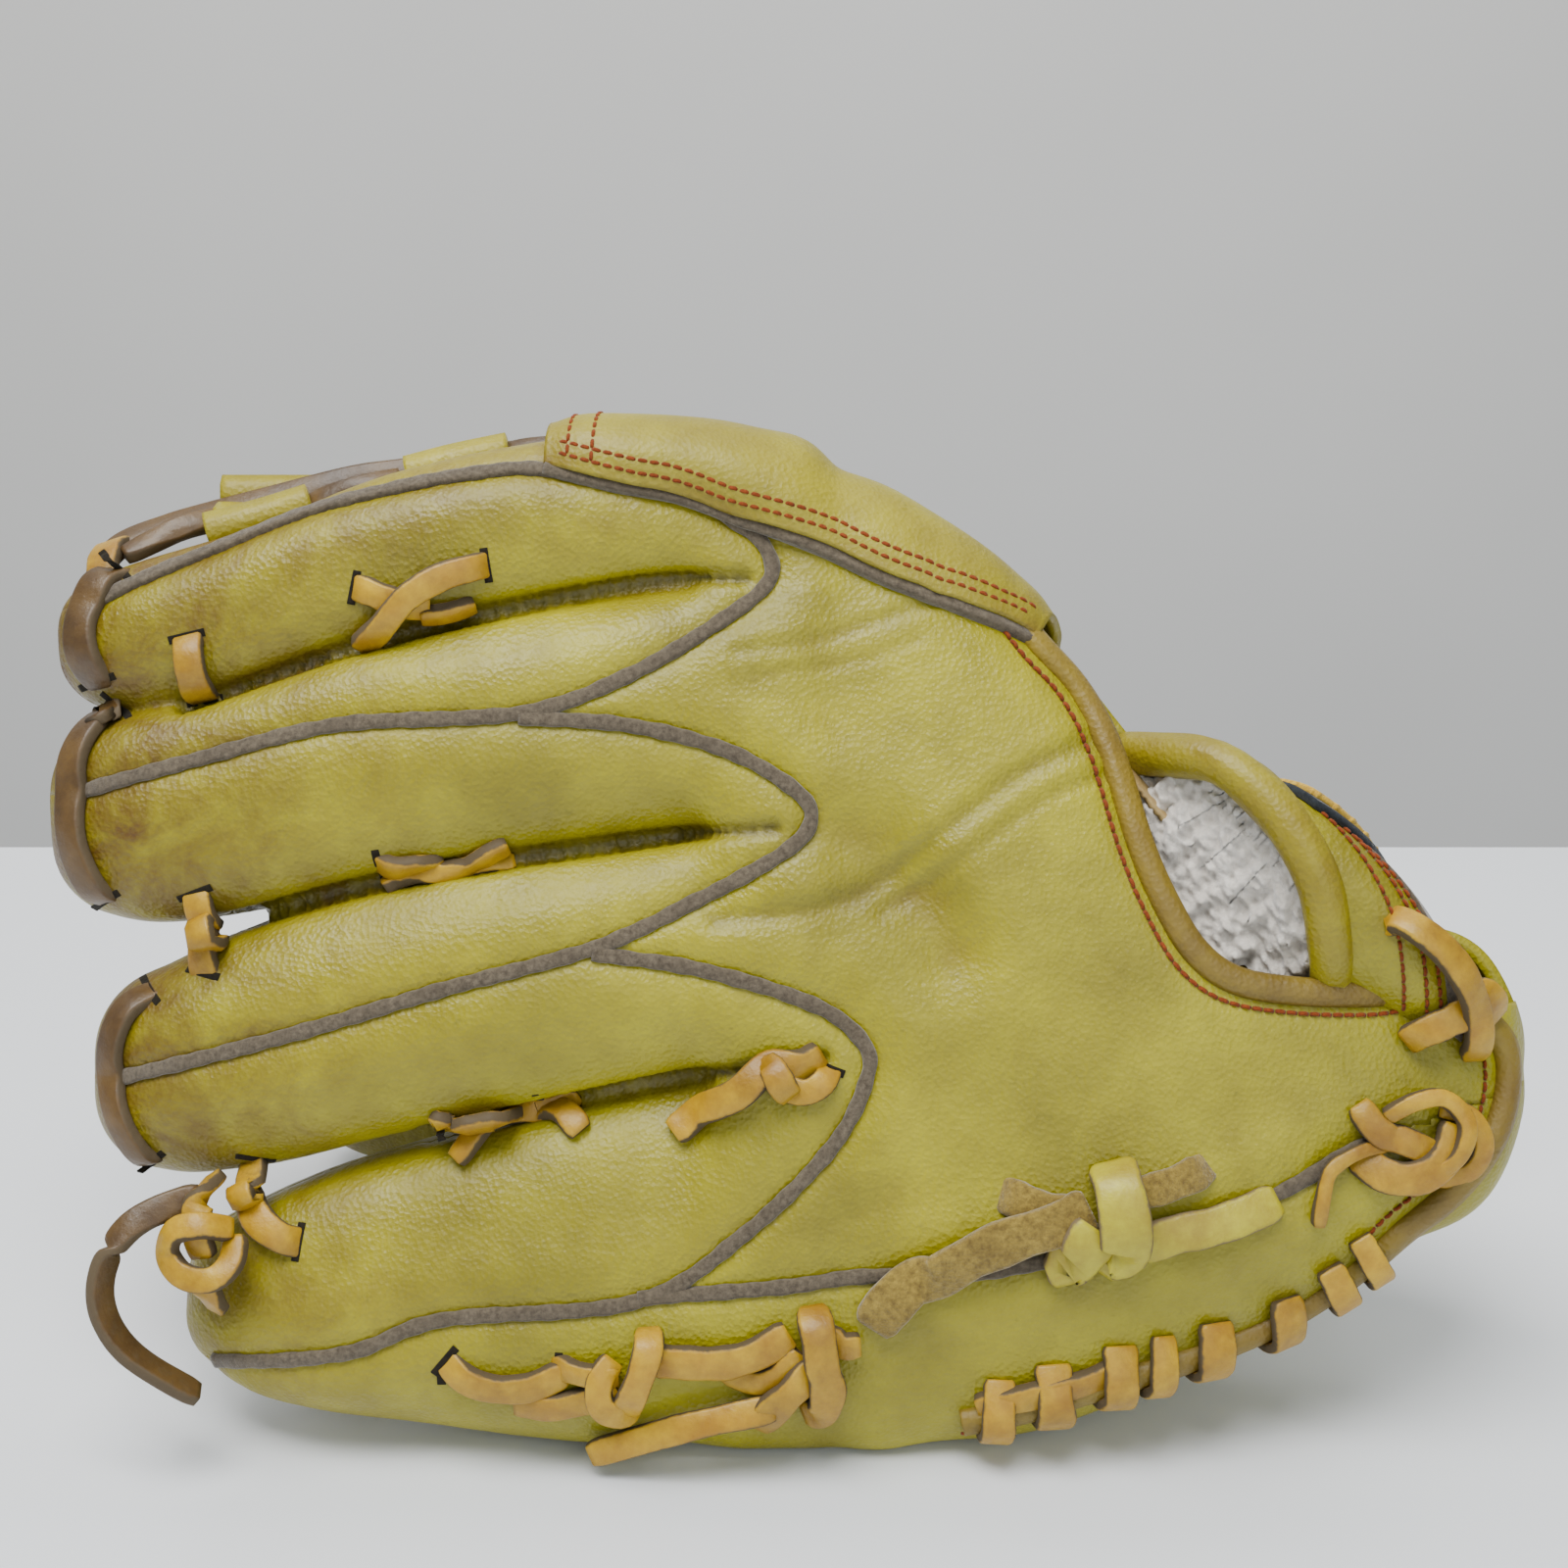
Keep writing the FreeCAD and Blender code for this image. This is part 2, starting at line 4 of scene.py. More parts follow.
import bmesh
import bpy
import numpy as np
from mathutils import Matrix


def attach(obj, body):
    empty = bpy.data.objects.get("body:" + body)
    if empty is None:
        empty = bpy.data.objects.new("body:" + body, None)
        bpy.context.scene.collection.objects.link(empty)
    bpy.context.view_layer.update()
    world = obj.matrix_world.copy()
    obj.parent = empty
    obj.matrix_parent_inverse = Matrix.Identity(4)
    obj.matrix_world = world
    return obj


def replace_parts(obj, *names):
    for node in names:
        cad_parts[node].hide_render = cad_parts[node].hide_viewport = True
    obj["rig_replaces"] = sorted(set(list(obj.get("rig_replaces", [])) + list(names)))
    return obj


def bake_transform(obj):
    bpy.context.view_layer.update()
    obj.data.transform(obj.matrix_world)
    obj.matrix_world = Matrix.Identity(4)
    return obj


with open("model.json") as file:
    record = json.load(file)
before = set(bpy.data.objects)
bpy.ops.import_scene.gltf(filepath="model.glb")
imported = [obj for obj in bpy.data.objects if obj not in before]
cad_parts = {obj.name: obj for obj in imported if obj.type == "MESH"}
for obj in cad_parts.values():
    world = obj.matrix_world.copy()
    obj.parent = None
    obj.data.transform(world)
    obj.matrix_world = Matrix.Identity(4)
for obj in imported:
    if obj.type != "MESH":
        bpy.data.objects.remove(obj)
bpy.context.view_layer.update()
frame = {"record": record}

import openvdb
from mathutils import Matrix, Vector
from mathutils.bvhtree import BVHTree

# ---------------------------------------- the glove's two flat frames
# Each side is modelled in millimetres in a flat frame: p from fingertips to wrist, q up the side, and n out
# of its surface. HAND_SIDE faces the camera and leans back; THUMB_SIDE leans the other way behind it.
LEAN, THUMB_LEAN = math.radians(20), math.radians(10)
FOLD_Y, FOLD_Z = 96.0, 190.0
FOLD = next(j for j in frame["record"]["behaviour"]["joints"] if j["name"] == "pocket_fold")["pos_m"]
HOME = np.array(FOLD) * 1000 - np.array([0, FOLD_Y, FOLD_Z])


class Side:
    def __init__(self, origin, across, up, out):
        self.origin = np.array(origin, float)
        self.axes = np.array([across, up, out], float)

    def world(self, points):
        """Points of the flat frame, in millimetres, as places in the row frame, in metres."""
        return (self.origin + np.asarray(points, float) @ self.axes) / 1000

    def local(self, points):
        return (np.asarray(points, float) * 1000 - self.origin) @ self.axes.T


HAND_SIDE = Side(HOME, (1, 0, 0), (0, math.sin(LEAN), math.cos(LEAN)), (0, -math.cos(LEAN), math.sin(LEAN)))
THUMB_SIDE = Side(HOME + (0, FOLD_Y, FOLD_Z), (1, 0, 0), (0, -math.sin(THUMB_LEAN), math.cos(THUMB_LEAN)),
                  (0, math.cos(THUMB_LEAN), math.sin(THUMB_LEAN)))

# ---------------------------------------- seams and outlines, in the hand side's frame
SEAMS = {
    "index_middle_welt": [(-144, 175.6), (-132, 181), (-120, 186), (-100, 194), (-80, 199), (-64, 201.8),
                          (-49, 202.5), (-20, 197), (-10, 192), (-4, 187), (-3, 180), (-12, 172), (-32,
                                                                                                   160),
                          (-54, 152.4), (-91, 150), (-120, 143), (-145, 136.4)],
    "middle_ring_welt": [(-54, 151.5), (-32, 150), (-12, 145), (2, 137), (5.5, 131), (0, 124), (-20, 113),
                         (-39, 104.5), (-70, 96), (-100, 87), (-137, 77.2)],
    "ring_pinky_welt": [(-39, 103.5), (-16, 100), (6, 93), (16, 85.5), (17, 78), (10, 64), (-8, 46),
                        (-30, 32), (-70, 28), (-90, 21), (-119, 17.6)],
    "heel_welt": [(-30, 32.5), (0, 35), (16, 37), (40, 38), (60, 42), (90, 50), (104, 56), (114, 62),
                  (124, 66)],
}
BINDING = [(46, 176), (53, 167), (61, 158), (67, 146), (73, 126), (78, 114), (84, 104), (92, 98),
           (104, 95.6), (120, 95), (133, 96), (143, 92)]

# ---------------------------------------- small numeric helpers


def smooth_line(points, step=1.0):
    """Evenly spaced points along a Catmull-Rom line through the given ones."""
    pts = np.array(points, float)
    pts = np.vstack([2 * pts[0] - pts[1], pts, 2 * pts[-1] - pts[-2]])
    fine = []
    for a, b, c, d in zip(pts, pts[1:], pts[2:], pts[3:]):
        t = np.linspace(0, 1, 24, endpoint=False)[:, None]
        fine.append(0.5 * (2 * b + (c - a) * t + (2 * a - 5 * b + 4 * c - d) * t ** 2
                           + (3 * b - a - 3 * c + d) * t ** 3))
    fine = np.vstack(fine + [pts[-2:-1]])
    along = np.concatenate([[0], np.cumsum(np.linalg.norm(np.diff(fine, axis=0), axis=1))])
    even = np.linspace(0, along[-1], max(3, int(along[-1] / step) + 1))
    return np.stack([np.interp(even, along, fine[:, k]) for k in range(fine.shape[1])], axis=1)


def nearest_on(line, points, chunk=20000):
    """For each 2-D point, its distance to the nearest of a line's points."""
    far = np.empty(len(points))
    for start in range(0, len(points), chunk):
        block = points[start:start + chunk]
        square = ((block[:, None] - line[None]) ** 2).sum(-1)
        far[start:start + chunk] = np.sqrt(square.min(1))
    return far


def inside(polygon, points):
    """Even-odd test of 2-D points against a closed outline."""
    x, y = points[:, 0], points[:, 1]
    hit = np.zeros(len(points), bool)
    for (ax, ay), (bx, by) in zip(polygon, np.roll(polygon, -1, axis=0)):
        if ay == by:
            continue
        crosses = ((ay > y) != (by > y)) & (x < (bx - ax) * (y - ay) / (by - ay) + ax)
        hit ^= crosses
    return hit


def soft_min(a, b, k):
    """Smooth union of two distance fields."""
    h = np.clip(0.5 + 0.5 * (b - a) / k, 0, 1)
    return b + (a - b) * h - k * h * (1 - h)


def profile(stations, p):
    """Each column of the stations at p, along a smooth line through them."""
    order = sorted(stations)
    xs = np.array([s[0] for s in order], float)
    out = []
    for k in range(1, len(order[0])):
        ys = np.array([s[k] for s in order], float)
        slope = np.gradient(ys, xs)
        i = np.clip(np.searchsorted(xs, p) - 1, 0, len(xs) - 2)
        span = xs[i + 1] - xs[i]
        t = np.clip((p - xs[i]) / span, 0, 1)
        h00, h10 = 2 * t ** 3 - 3 * t ** 2 + 1, t ** 3 - 2 * t ** 2 + t
        h01, h11 = -2 * t ** 3 + 3 * t ** 2, t ** 3 - t ** 2
        out.append(h00 * ys[i] + h10 * span * slope[i] + h01 * ys[i + 1] + h11 * span * slope[i + 1])
    return out

# ---------------------------------------- the stuffed body of each side, as a field
# Stations of each limb: along, across, half width, depth, half thickness.
HAND_LIMBS = {
    "index": [(4, 192, 15, -22, 13), (-30, 193.5, 17, -18, 14.5), (-80, 185.5, 18, -18, 15.5),
              (-120, 172.5, 17, -20, 15), (-138, 168.5, 15.5, -21, 13.5), (-147, 168, 13, -22, 10.5),
              (-154, 168, 8, -23, 6)],
    "middle": [(4, 155, 25, -19, 17), (-30, 152, 26, -16, 16.5), (-80, 144, 26, -15, 16.5),
               (-120, 133, 23.5, -17, 16), (-138, 131, 21.5, -18.5, 14.5), (-148, 131, 18, -20, 11), (-155,
                                                                                                      131,
                                                                                                      12,
                                                                                                      -22,
                                                                                                      6)],
    "ring": [(4, 105, 24, -19, 17), (-30, 100.5, 26, -15, 16.5), (-80, 92, 27, -15, 16.5),
             (-112, 83, 25.5, -17, 16), (-129, 78.5, 22, -18.5, 14.5), (-139, 77.5, 18, -20, 11), (-145.5,
                                                                                                   77, 12,
                                                                                                   -22, 6)],
    "pinky": [(4, 41, 40, -22, 19), (-30, 37, 38.5, -20, 18), (-75, 33, 30, -20, 17),
              (-100, 31, 24, -20, 16), (-113, 30, 19, -20.5, 13.5), (-121, 30, 14.5, -21, 10), (-126.5, 30,
                                                                                                9, -22, 6)],
    "hand": [(-14, 101, 102.5, -21, 20), (10, 98.5, 101.5, -22, 21.5), (20, 96.5, 100.5, -22.2, 22),
             (30, 94.5, 96.5, -22.5, 23),
             (50, 88, 88, -23, 24), (90, 73, 57, -24, 25), (130, 75, 35, -22, 19), (150, 77, 24, -20, 12),
             (157, 78, 13, -20, 6)],
}
THUMB_LIMBS = {
    "thumb": [(4, -160, 43, 10, 18), (-60, -174, 27.5, 10, 17), (-95, -177, 23, 10, 15.5),
              (-113, -178, 16, 10, 12), (-121, -178, 9, 10, 7)],
    "heel": [(-14, -130, 73, 10, 19), (35, -120, 82, 10, 19), (90, -140, 47, 10, 18),
             (130, -140, 30, 10, 15), (148, -138, 16, 10, 8.5)],
}
CELL = 1.25
HAND_SPANS = (-158, 158), (-10, 222), (-54, 8)
THUMB_SPANS = (-132, 158), (-212, -28), (-16, 36)
FINGERS = ("index", "middle", "ring", "pinky")
FINGER_SQUARENESS, FINGER_JOIN = 2.45, 2.4
HAND_SQUARENESS, HAND_CAP, HAND_JOIN = 2.7, 9.0, 9.0
THUMB_SQUARENESS, HEEL_SQUARENESS, HEEL_CAP, HEEL_JOIN = 2.4, 2.6, 8.0, 12.0


def limb_field(stations, along, across, out, squareness, cap=5.0):
    """Signed distance, roughly, to a tube of superellipses through the stations, with rounded ends."""
    centre, width, depth, thick = (c[:, None, None] for c in profile(stations, along))
    dq, dn = across[None, :, None] - centre, out[None, None, :] - depth
    reach = np.sqrt(dq ** 2 + dn ** 2) + 1e-3
    share = ((np.abs(dq) / width) ** squareness + (np.abs(dn) / thick) ** squareness) ** (1 / squareness)
    side = reach * (1 - 1 / np.maximum(share, 0.05))
    ends = [s[0] for s in stations]
    end = np.maximum(min(ends) - along, along - max(ends))[:, None, None] + 0 * side
    return -soft_min(-side, -end, cap)


def hand_field(along, across, out):
    parts = [limb_field(HAND_LIMBS[n], along, across, out, FINGER_SQUARENESS) for n in FINGERS]
    body = parts[0]
    for part in parts[1:]:
        body = soft_min(body, part, FINGER_JOIN)
    hand = limb_field(HAND_LIMBS["hand"], along, across, out, HAND_SQUARENESS, HAND_CAP)
    return soft_min(body, hand, HAND_JOIN)


def thumb_field(along, across, out):
    thumb = limb_field(THUMB_LIMBS["thumb"], along, across, out, THUMB_SQUARENESS)
    heel = limb_field(THUMB_LIMBS["heel"], along, across, out, HEEL_SQUARENESS, HEEL_CAP)
    return soft_min(thumb, heel, HEEL_JOIN)


def polygonise(field, span_p, span_q, span_n, level=0.0):
    """The level surface of a field, as vertices in the flat frame and quads that face outwards."""
    axes = [np.arange(a, b, CELL) for a, b in (span_p, span_q, span_n)]
    grid = openvdb.FloatGrid(9.0)
    grid.gridClass = openvdb.GridClass.LEVEL_SET
    grid.copyFromArray(np.clip(field(*axes), -9, 9).astype(np.float32))
    points, _, quads = grid.convertToPolygons(level, 0.0)
    corner = np.array([span_p[0], span_q[0], span_n[0]])
    return points.astype(float) * CELL + corner, quads[:, ::-1].astype(int)


def relax(points, quads, rounds=3, rate=0.5):
    """Laplacian smoothing, which takes out the grid's steps."""
    edges = np.vstack([quads[:, [k, (k + 1) % 4]] for k in range(4)])
    count = np.bincount(edges.ravel(), minlength=len(points))[:, None]
    for _ in range(rounds):
        total = np.zeros_like(points)
        np.add.at(total, edges[:, 0], points[edges[:, 1]])
        np.add.at(total, edges[:, 1], points[edges[:, 0]])
        points = points + rate * (total / count - points)
    return points


def point_normals(points, faces):
    a, b, c, d = (points[faces[:, k]] for k in range(4))
    face_normal = np.cross(c - a, d - b)
    normals = np.zeros_like(points)
    for k in range(4):
        np.add.at(normals, faces[:, k], face_normal)
    return normals / np.maximum(np.linalg.norm(normals, axis=1), 1e-9)[:, None]


class Skin:
    """One side's outer surface in its flat frame, with a tree for laying trim on it."""

    def __init__(self, side, points, quads):
        self.side, self.points, self.quads = side, points, quads
        self.normals = point_normals(points, quads)
        self.tree = BVHTree.FromPolygons(points.tolist(), quads.tolist())

    def height(self, p, q, start=60.0):
        hit = self.tree.ray_cast(Vector((p, q, start)), Vector((0, 0, -1)))
        if hit[0] is None:
            hit = self.tree.find_nearest(Vector((p, q, 0)))
        return hit[0][2]

    def normal(self, point):
        place, _, face, _ = self.tree.find_nearest(Vector(point))
        corners = self.quads[face]
        weight = 1 / (np.linalg.norm(self.points[corners] - np.array(place), axis=1) + 0.05)
        normal = (self.normals[corners] * weight[:, None]).sum(0)
        return normal / np.linalg.norm(normal)

# ---------------------------------------- making pieces


def new_object(name, points, faces, side, materials, body, flip=False):
    """A smooth-shaded mesh object from points in a side's flat frame."""
    mesh = bpy.data.meshes.new(name)
    faces = np.asarray(faces)
    if flip:
        faces = faces[:, ::-1]
    mesh.from_pydata(side.world(points).tolist(), [], faces.tolist())
    for material in materials:
        mesh.materials.append(material)
    mesh.shade_smooth()
    obj = bpy.data.objects.new(name, mesh)
    bpy.context.collection.objects.link(obj)
    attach(obj, body)
    return obj


def add_field(obj, name, values):
    """A float value at each vertex, for the materials to read."""
    attribute = obj.data.attributes.new(name, "FLOAT", "POINT")
    attribute.data.foreach_set("value", np.asarray(values, np.float32))


def soil(obj, amount):
    """One amount of grime all over a piece."""
    add_field(obj, "grime", np.full(len(obj.data.vertices), amount))


def thicken(obj, mm, offset=-1.0):
    solid = obj.modifiers.new("thickness", "SOLIDIFY")
    solid.thickness = mm / 1000
    solid.offset = offset


def part_of(points, faces, keep):
    """The faces kept, with only the points that they use."""
    faces = faces[keep]
    used, index = np.unique(faces, return_inverse=True)
    return points[used], index.reshape(faces.shape), used


def frames_along(line, normals):
    """Unit direction, side and outward vectors at each point of a line."""
    ahead = np.gradient(line, axis=0)
    ahead /= np.maximum(np.linalg.norm(ahead, axis=1), 1e-9)[:, None]
    beside = np.cross(ahead, normals)
    beside /= np.maximum(np.linalg.norm(beside, axis=1), 1e-9)[:, None]
    return ahead, beside, np.cross(beside, ahead)


def rounded(half_width, low, high, corner, dish=0.0):
    """Cross-section of a strip as (beside, outward) points, with softened corners."""
    points = []
    corners = (half_width, high, 0), (-half_width, high, 90), (-half_width, low, 180), (half_width, low,
                                                                                        270)
    for cx, cy, turn in corners:
        ox, oy = cx - math.copysign(corner, cx), cy - (corner if cy == high else -corner)
        for step in range(3):
            a = math.radians(turn + 45 * step)
            points.append((ox + corner * math.cos(a), oy + corner * math.sin(a)))
    return np.array([(x, y - dish * (abs(x) / half_width) ** 2) for x, y in points])


def sweep(line, normals, section, scale=None):
    """Tube of a section along a line: points, quads, end faces and (along, around) for each point."""
    _, beside, out = frames_along(line, normals)
    count, ring = len(line), len(section)
    if scale is None:
        scale = np.ones((count, 2))
    points = (line[:, None] + beside[:, None] * (section[None, :, :1] * scale[:, None, :1])
              + out[:, None] * (section[None, :, 1:] * scale[:, None, 1:]))
    along = np.concatenate([[0], np.cumsum(np.linalg.norm(np.diff(line, axis=0), axis=1))])
    uv = np.stack(np.broadcast_arrays(along[:, None], np.linspace(0, 1, ring)[None]), axis=-1)
    quads = [(i * ring + k, i * ring + (k + 1) % ring, (i + 1) * ring + (k + 1) % ring, (i + 1) * ring + k)
             for i in range(count - 1) for k in range(ring)]
    flat = points.reshape(-1, 3)
    ends = []
    for base in (0, (count - 1) * ring):
        hub = len(flat)
        inward = flat[base:base + ring].mean(0)
        flat = np.vstack([flat, inward])
        pairs = [(base + k, base + (k + 1) % ring, hub) for k in range(ring)]
        ends += pairs if base else [p[::-1] for p in pairs]
    uv = np.vstack([uv.reshape(-1, 2), [[0, 0.5]], [[along[-1], 0.5]]])
    return flat, quads, ends, uv


def strip_mesh(name, runs, side, materials, body):
    """One piece made of several swept strips. A run is (line, normals, section, scale)."""
    mesh_points, faces, uvs, start = [], [], [], 0
    for line, normals, section, scale in runs:
        points, quads, ends, uv = sweep(line, normals, section, scale)
        mesh_points.append(points)
        faces += [[v + start for v in face] for face in quads + ends]
        uvs.append(uv)
        start += len(points)
    mesh = bpy.data.meshes.new(name)
    mesh.from_pydata(side.world(np.vstack(mesh_points)).tolist(), [], faces)
    layer = mesh.uv_layers.new(name="strip")
    corners = np.empty(len(mesh.loops), int)
    mesh.loops.foreach_get("vertex_index", corners)
    layer.data.foreach_set("uv", np.vstack(uvs)[corners].ravel())
    make_outward(mesh)
    for material in materials:
        mesh.materials.append(material)
    mesh.shade_smooth()
    obj = bpy.data.objects.new(name, mesh)
    bpy.context.collection.objects.link(obj)
    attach(obj, body)
    return obj


def make_outward(mesh):
    work = bmesh.new()
    work.from_mesh(mesh)
    bmesh.ops.recalc_face_normals(work, faces=work.faces)
    work.to_mesh(mesh)
    work.free()

# ---------------------------------------- lying on the leather


def laid(skin, points, lift=0.0, step=1.0):
    """A line over a skin through (p, q) or (p, q, lift) points, and the skin's outward normals along it."""
    rows = np.array([tuple(point) + (lift,) * (3 - len(point)) for point in points], float)
    even = smooth_line(rows, step)
    line = np.array([(p, q, skin.height(p, q)) for p, q, _ in even])
    line[:, 2] = np.convolve(np.pad(line[:, 2], 2, mode="edge"), np.ones(5) / 5, "valid")
    normals = np.array([skin.normal(point) for point in line])
    for _ in range(3):
        normals[1:-1] = (normals[:-2] + normals[1:-1] + normals[2:]) / 3
    normals /= np.linalg.norm(normals, axis=1)[:, None]
    return line + normals * even[:, 2:], normals


def facing_along(skin, line):
    """Unit normals along a free line, turned to face the way the skin nearest to it does."""
    normals = np.array([skin.normal(point) for point in line])
    for _ in range(4):
        normals[1:-1] = (normals[:-2] + normals[1:-1] + normals[2:]) / 3
    return normals / np.linalg.norm(normals, axis=1)[:, None]


def draped(skin, points, step=1.0):
    """A free line through (p, q, n) points, with its normals."""
    line = smooth_line(points, step)
    return line, facing_along(skin, line)


def cord_line(route):
    """Points read from the NURBS spline that has a cord's route as its control points."""
    curve = bpy.data.curves.new("route", "CURVE")
    curve.dimensions = "3D"
    spline = curve.splines.new("NURBS")
    spline.points.add(len(route) - 1)
    for point, place in zip(spline.points, route):
        point.co = (*place, 1)
    spline.order_u = 3
    spline.use_endpoint_u = True
    spline.resolution_u = 14
    holder = bpy.data.objects.new("route", curve)
    mesh = bpy.data.meshes.new_from_object(holder)
    line = np.array([vertex.co for vertex in mesh.vertices])
    bpy.data.objects.remove(holder)
    bpy.data.meshes.remove(mesh)
    bpy.data.curves.remove(curve)
    return line

# ---------------------------------------- materials


class Maker:
    """Builds one node material from short calls."""

    def __init__(self, name, roughness, sheen=0.0, coat=0.0, specular=0.5):
        self.material = bpy.data.materials.new(name)
        self.material.use_nodes = True
        self.tree = self.material.node_tree
        self.shader = self.tree.nodes["Principled BSDF"]
        self.shader.inputs["Roughness"].default_value = roughness
        self.shader.inputs["Sheen Weight"].default_value = sheen
        self.shader.inputs["Coat Weight"].default_value = coat
        self.shader.inputs["Coat Roughness"].default_value = 0.35
        self.shader.inputs["Specular IOR Level"].default_value = specular
        self.place = self.add("ShaderNodeTexCoord").outputs["Object"]

    def add(self, kind, **settings):
        node = self.tree.nodes.new(kind)
        for key, value in settings.items():
            setattr(node, key, value)
        return node

    def join(self, source, node, socket):
        self.tree.links.new(source, node.inputs[socket])

    def noise(self, scale, detail=4.0, rough=0.55, stretch=(1, 1, 1), distortion=0.0):
        spread = self.add("ShaderNodeMapping")
        spread.inputs["Scale"].default_value = stretch
        self.join(self.place, spread, "Vector")
        node = self.add("ShaderNodeTexNoise")
        node.inputs["Scale"].default_value = scale
        node.inputs["Detail"].default_value = detail
        node.inputs["Roughness"].default_value = rough
        node.inputs["Distortion"].default_value = distortion
        self.join(spread.outputs["Vector"], node, "Vector")
        return node.outputs["Fac"]

    def cells(self, scale):
        node = self.add("ShaderNodeTexVoronoi", feature="F1")
        node.inputs["Scale"].default_value = scale
        self.join(self.place, node, "Vector")
        return node.outputs["Distance"]

    def field(self, name):
        return self.add("ShaderNodeAttribute", attribute_name=name).outputs["Fac"]

    def sloped(self, value, low, high, start=0.0, end=1.0):
        """A value taken from low..high to start..end and held there."""
        node = self.add("ShaderNodeMapRange", clamp=True)
        for socket, amount in zip(("From Min", "From Max", "To Min", "To Max"), (low, high, start, end)):
            node.inputs[socket].default_value = amount
        self.join(value, node, "Value")
        return node.outputs["Result"]

    def maths(self, operation, first, second):
        node = self.add("ShaderNodeMath", operation=operation)
        for number, value in enumerate((first, second)):
            if isinstance(value, (int, float)):
                node.inputs[number].default_value = value
            else:
                self.tree.links.new(value, node.inputs[number])
        return node.outputs["Value"]

    def blend(self, amount, first, second):
        """Colours mixed by an amount. A colour is a node's output or an (r, g, b) in sRGB from 0 to 255."""
        node = self.add("ShaderNodeMix", data_type="RGBA", blend_type="MIX")
        for number, colour in ((6, first), (7, second)):
            if isinstance(colour, tuple):
                node.inputs[number].default_value = (*linear(colour), 1)
            else:
                self.tree.links.new(colour, node.inputs[number])
        if isinstance(amount, (int, float)):
            node.inputs[0].default_value = amount
        else:
            self.tree.links.new(amount, node.inputs[0])
        return node.outputs[2]

    def colour(self, source):
        self.join(source, self.shader, "Base Color")

    def rough(self, source):
        self.join(source, self.shader, "Roughness")

    def bumps(self, *layers):
        """Bump layers as (height, distance in millimetres)."""
        last = None
        for height, depth in layers:
            node = self.add("ShaderNodeBump")
            node.inputs["Distance"].default_value = depth / 1000
            self.join(height, node, "Height")
            if last:
                self.join(last, node, "Normal")
            last = node.outputs["Normal"]
        self.join(last, self.shader, "Normal")


def linear(colour):
    return [(c / 255 / 12.92) if c <= 10 else ((c / 255 + 0.055) / 1.055) ** 2.4 for c in colour]


def leather(name, pale, deep, grime, roughness=0.42, grain=0.10):
    """Worn full-grain leather. Two vertex fields, where a piece has them, darken it: real dirt with painted
    shade in the hollows, and painted shade along creases and grooves.
    """
    m = Maker(name, roughness, coat=0.12)
    base = m.blend(m.sloped(m.noise(28, 5, 0.6), 0.35, 0.68), pale, deep)
    mottled = m.blend(m.sloped(m.noise(150, 6, 0.65), 0.3, 0.8, 0.0, 0.35), base, deep)
    # Real dirt, and painted shade in the hollows, from the vertex field broken up by noise.
    grime_and_shade_break = m.sloped(m.noise(70, 7, 0.7, distortion=0.6), 0.3, 0.72, 0.25, 1.25)
    grimed_and_shaded = m.blend(m.maths("MULTIPLY", m.field("grime"), grime_and_shade_break), mottled, grime)
    spots = m.sloped(m.noise(420, 3, 0.5), 0.66, 0.78, 0.0, 0.35)
    spotted = m.blend(spots, grimed_and_shaded, tuple(int(c * 0.72) for c in deep))
    # Painted shade along creases and the grooves between the fingers.
    creased = m.blend(m.maths("MULTIPLY", m.field("crease"), 0.75), spotted,
                      tuple(int(c * 0.6) for c in deep))
    m.colour(creased)
    m.rough(m.sloped(m.noise(90, 5, 0.6), 0.3, 0.7, roughness - 0.06, roughness + 0.12))
    m.bumps((m.cells(950), grain), (m.noise(1500, 2, 0.5), grain * 0.6), (m.noise(230, 5, 0.6), 0.22))
    return m.material


def lace_leather(name, face, deep, edge, grime):
    """Cut rawhide lace: smooth yellow face, rough grey-brown cut edges and back."""
    m = Maker(name, 0.45, coat=0.08)
    base = m.blend(m.sloped(m.noise(110, 6, 0.65), 0.32, 0.68), face, deep)
    # Here the patches mixed in by noise are real dirt.
    grimed_and_shaded = m.blend(m.sloped(m.noise(45, 6, 0.7), 0.42, 0.7, 0.0, 0.75), base, grime)
    frayed = m.maths("ADD", m.field("edge"), m.sloped(m.noise(500, 4, 0.6), 0.3, 0.7, -0.25, 0.25))
    m.colour(m.blend(m.sloped(frayed, 0.35, 0.8), grimed_and_shaded, edge))
    m.rough(m.sloped(m.field("edge"), 0.2, 0.8, 0.42, 0.85))
    m.bumps((m.noise(900, 4, 0.6), 0.12), (m.noise(260, 4, 0.6), 0.25))
    return m.material


def fibrous(name, pale, deep, scale=900, depth=0.25, sheen=0.4):
    m = Maker(name, 0.92, sheen=sheen, specular=0.2)
    base = m.blend(m.sloped(m.noise(scale, 5, 0.7), 0.3, 0.7), deep, pale)
    worn = m.blend(m.sloped(m.noise(60, 5, 0.6), 0.45, 0.75, 0.0, 0.5), base, deep)
    m.colour(worn)
    m.bumps((m.noise(scale * 1.4, 4, 0.7), depth), (m.noise(scale * 0.3, 4, 0.6), depth))
    return m.material


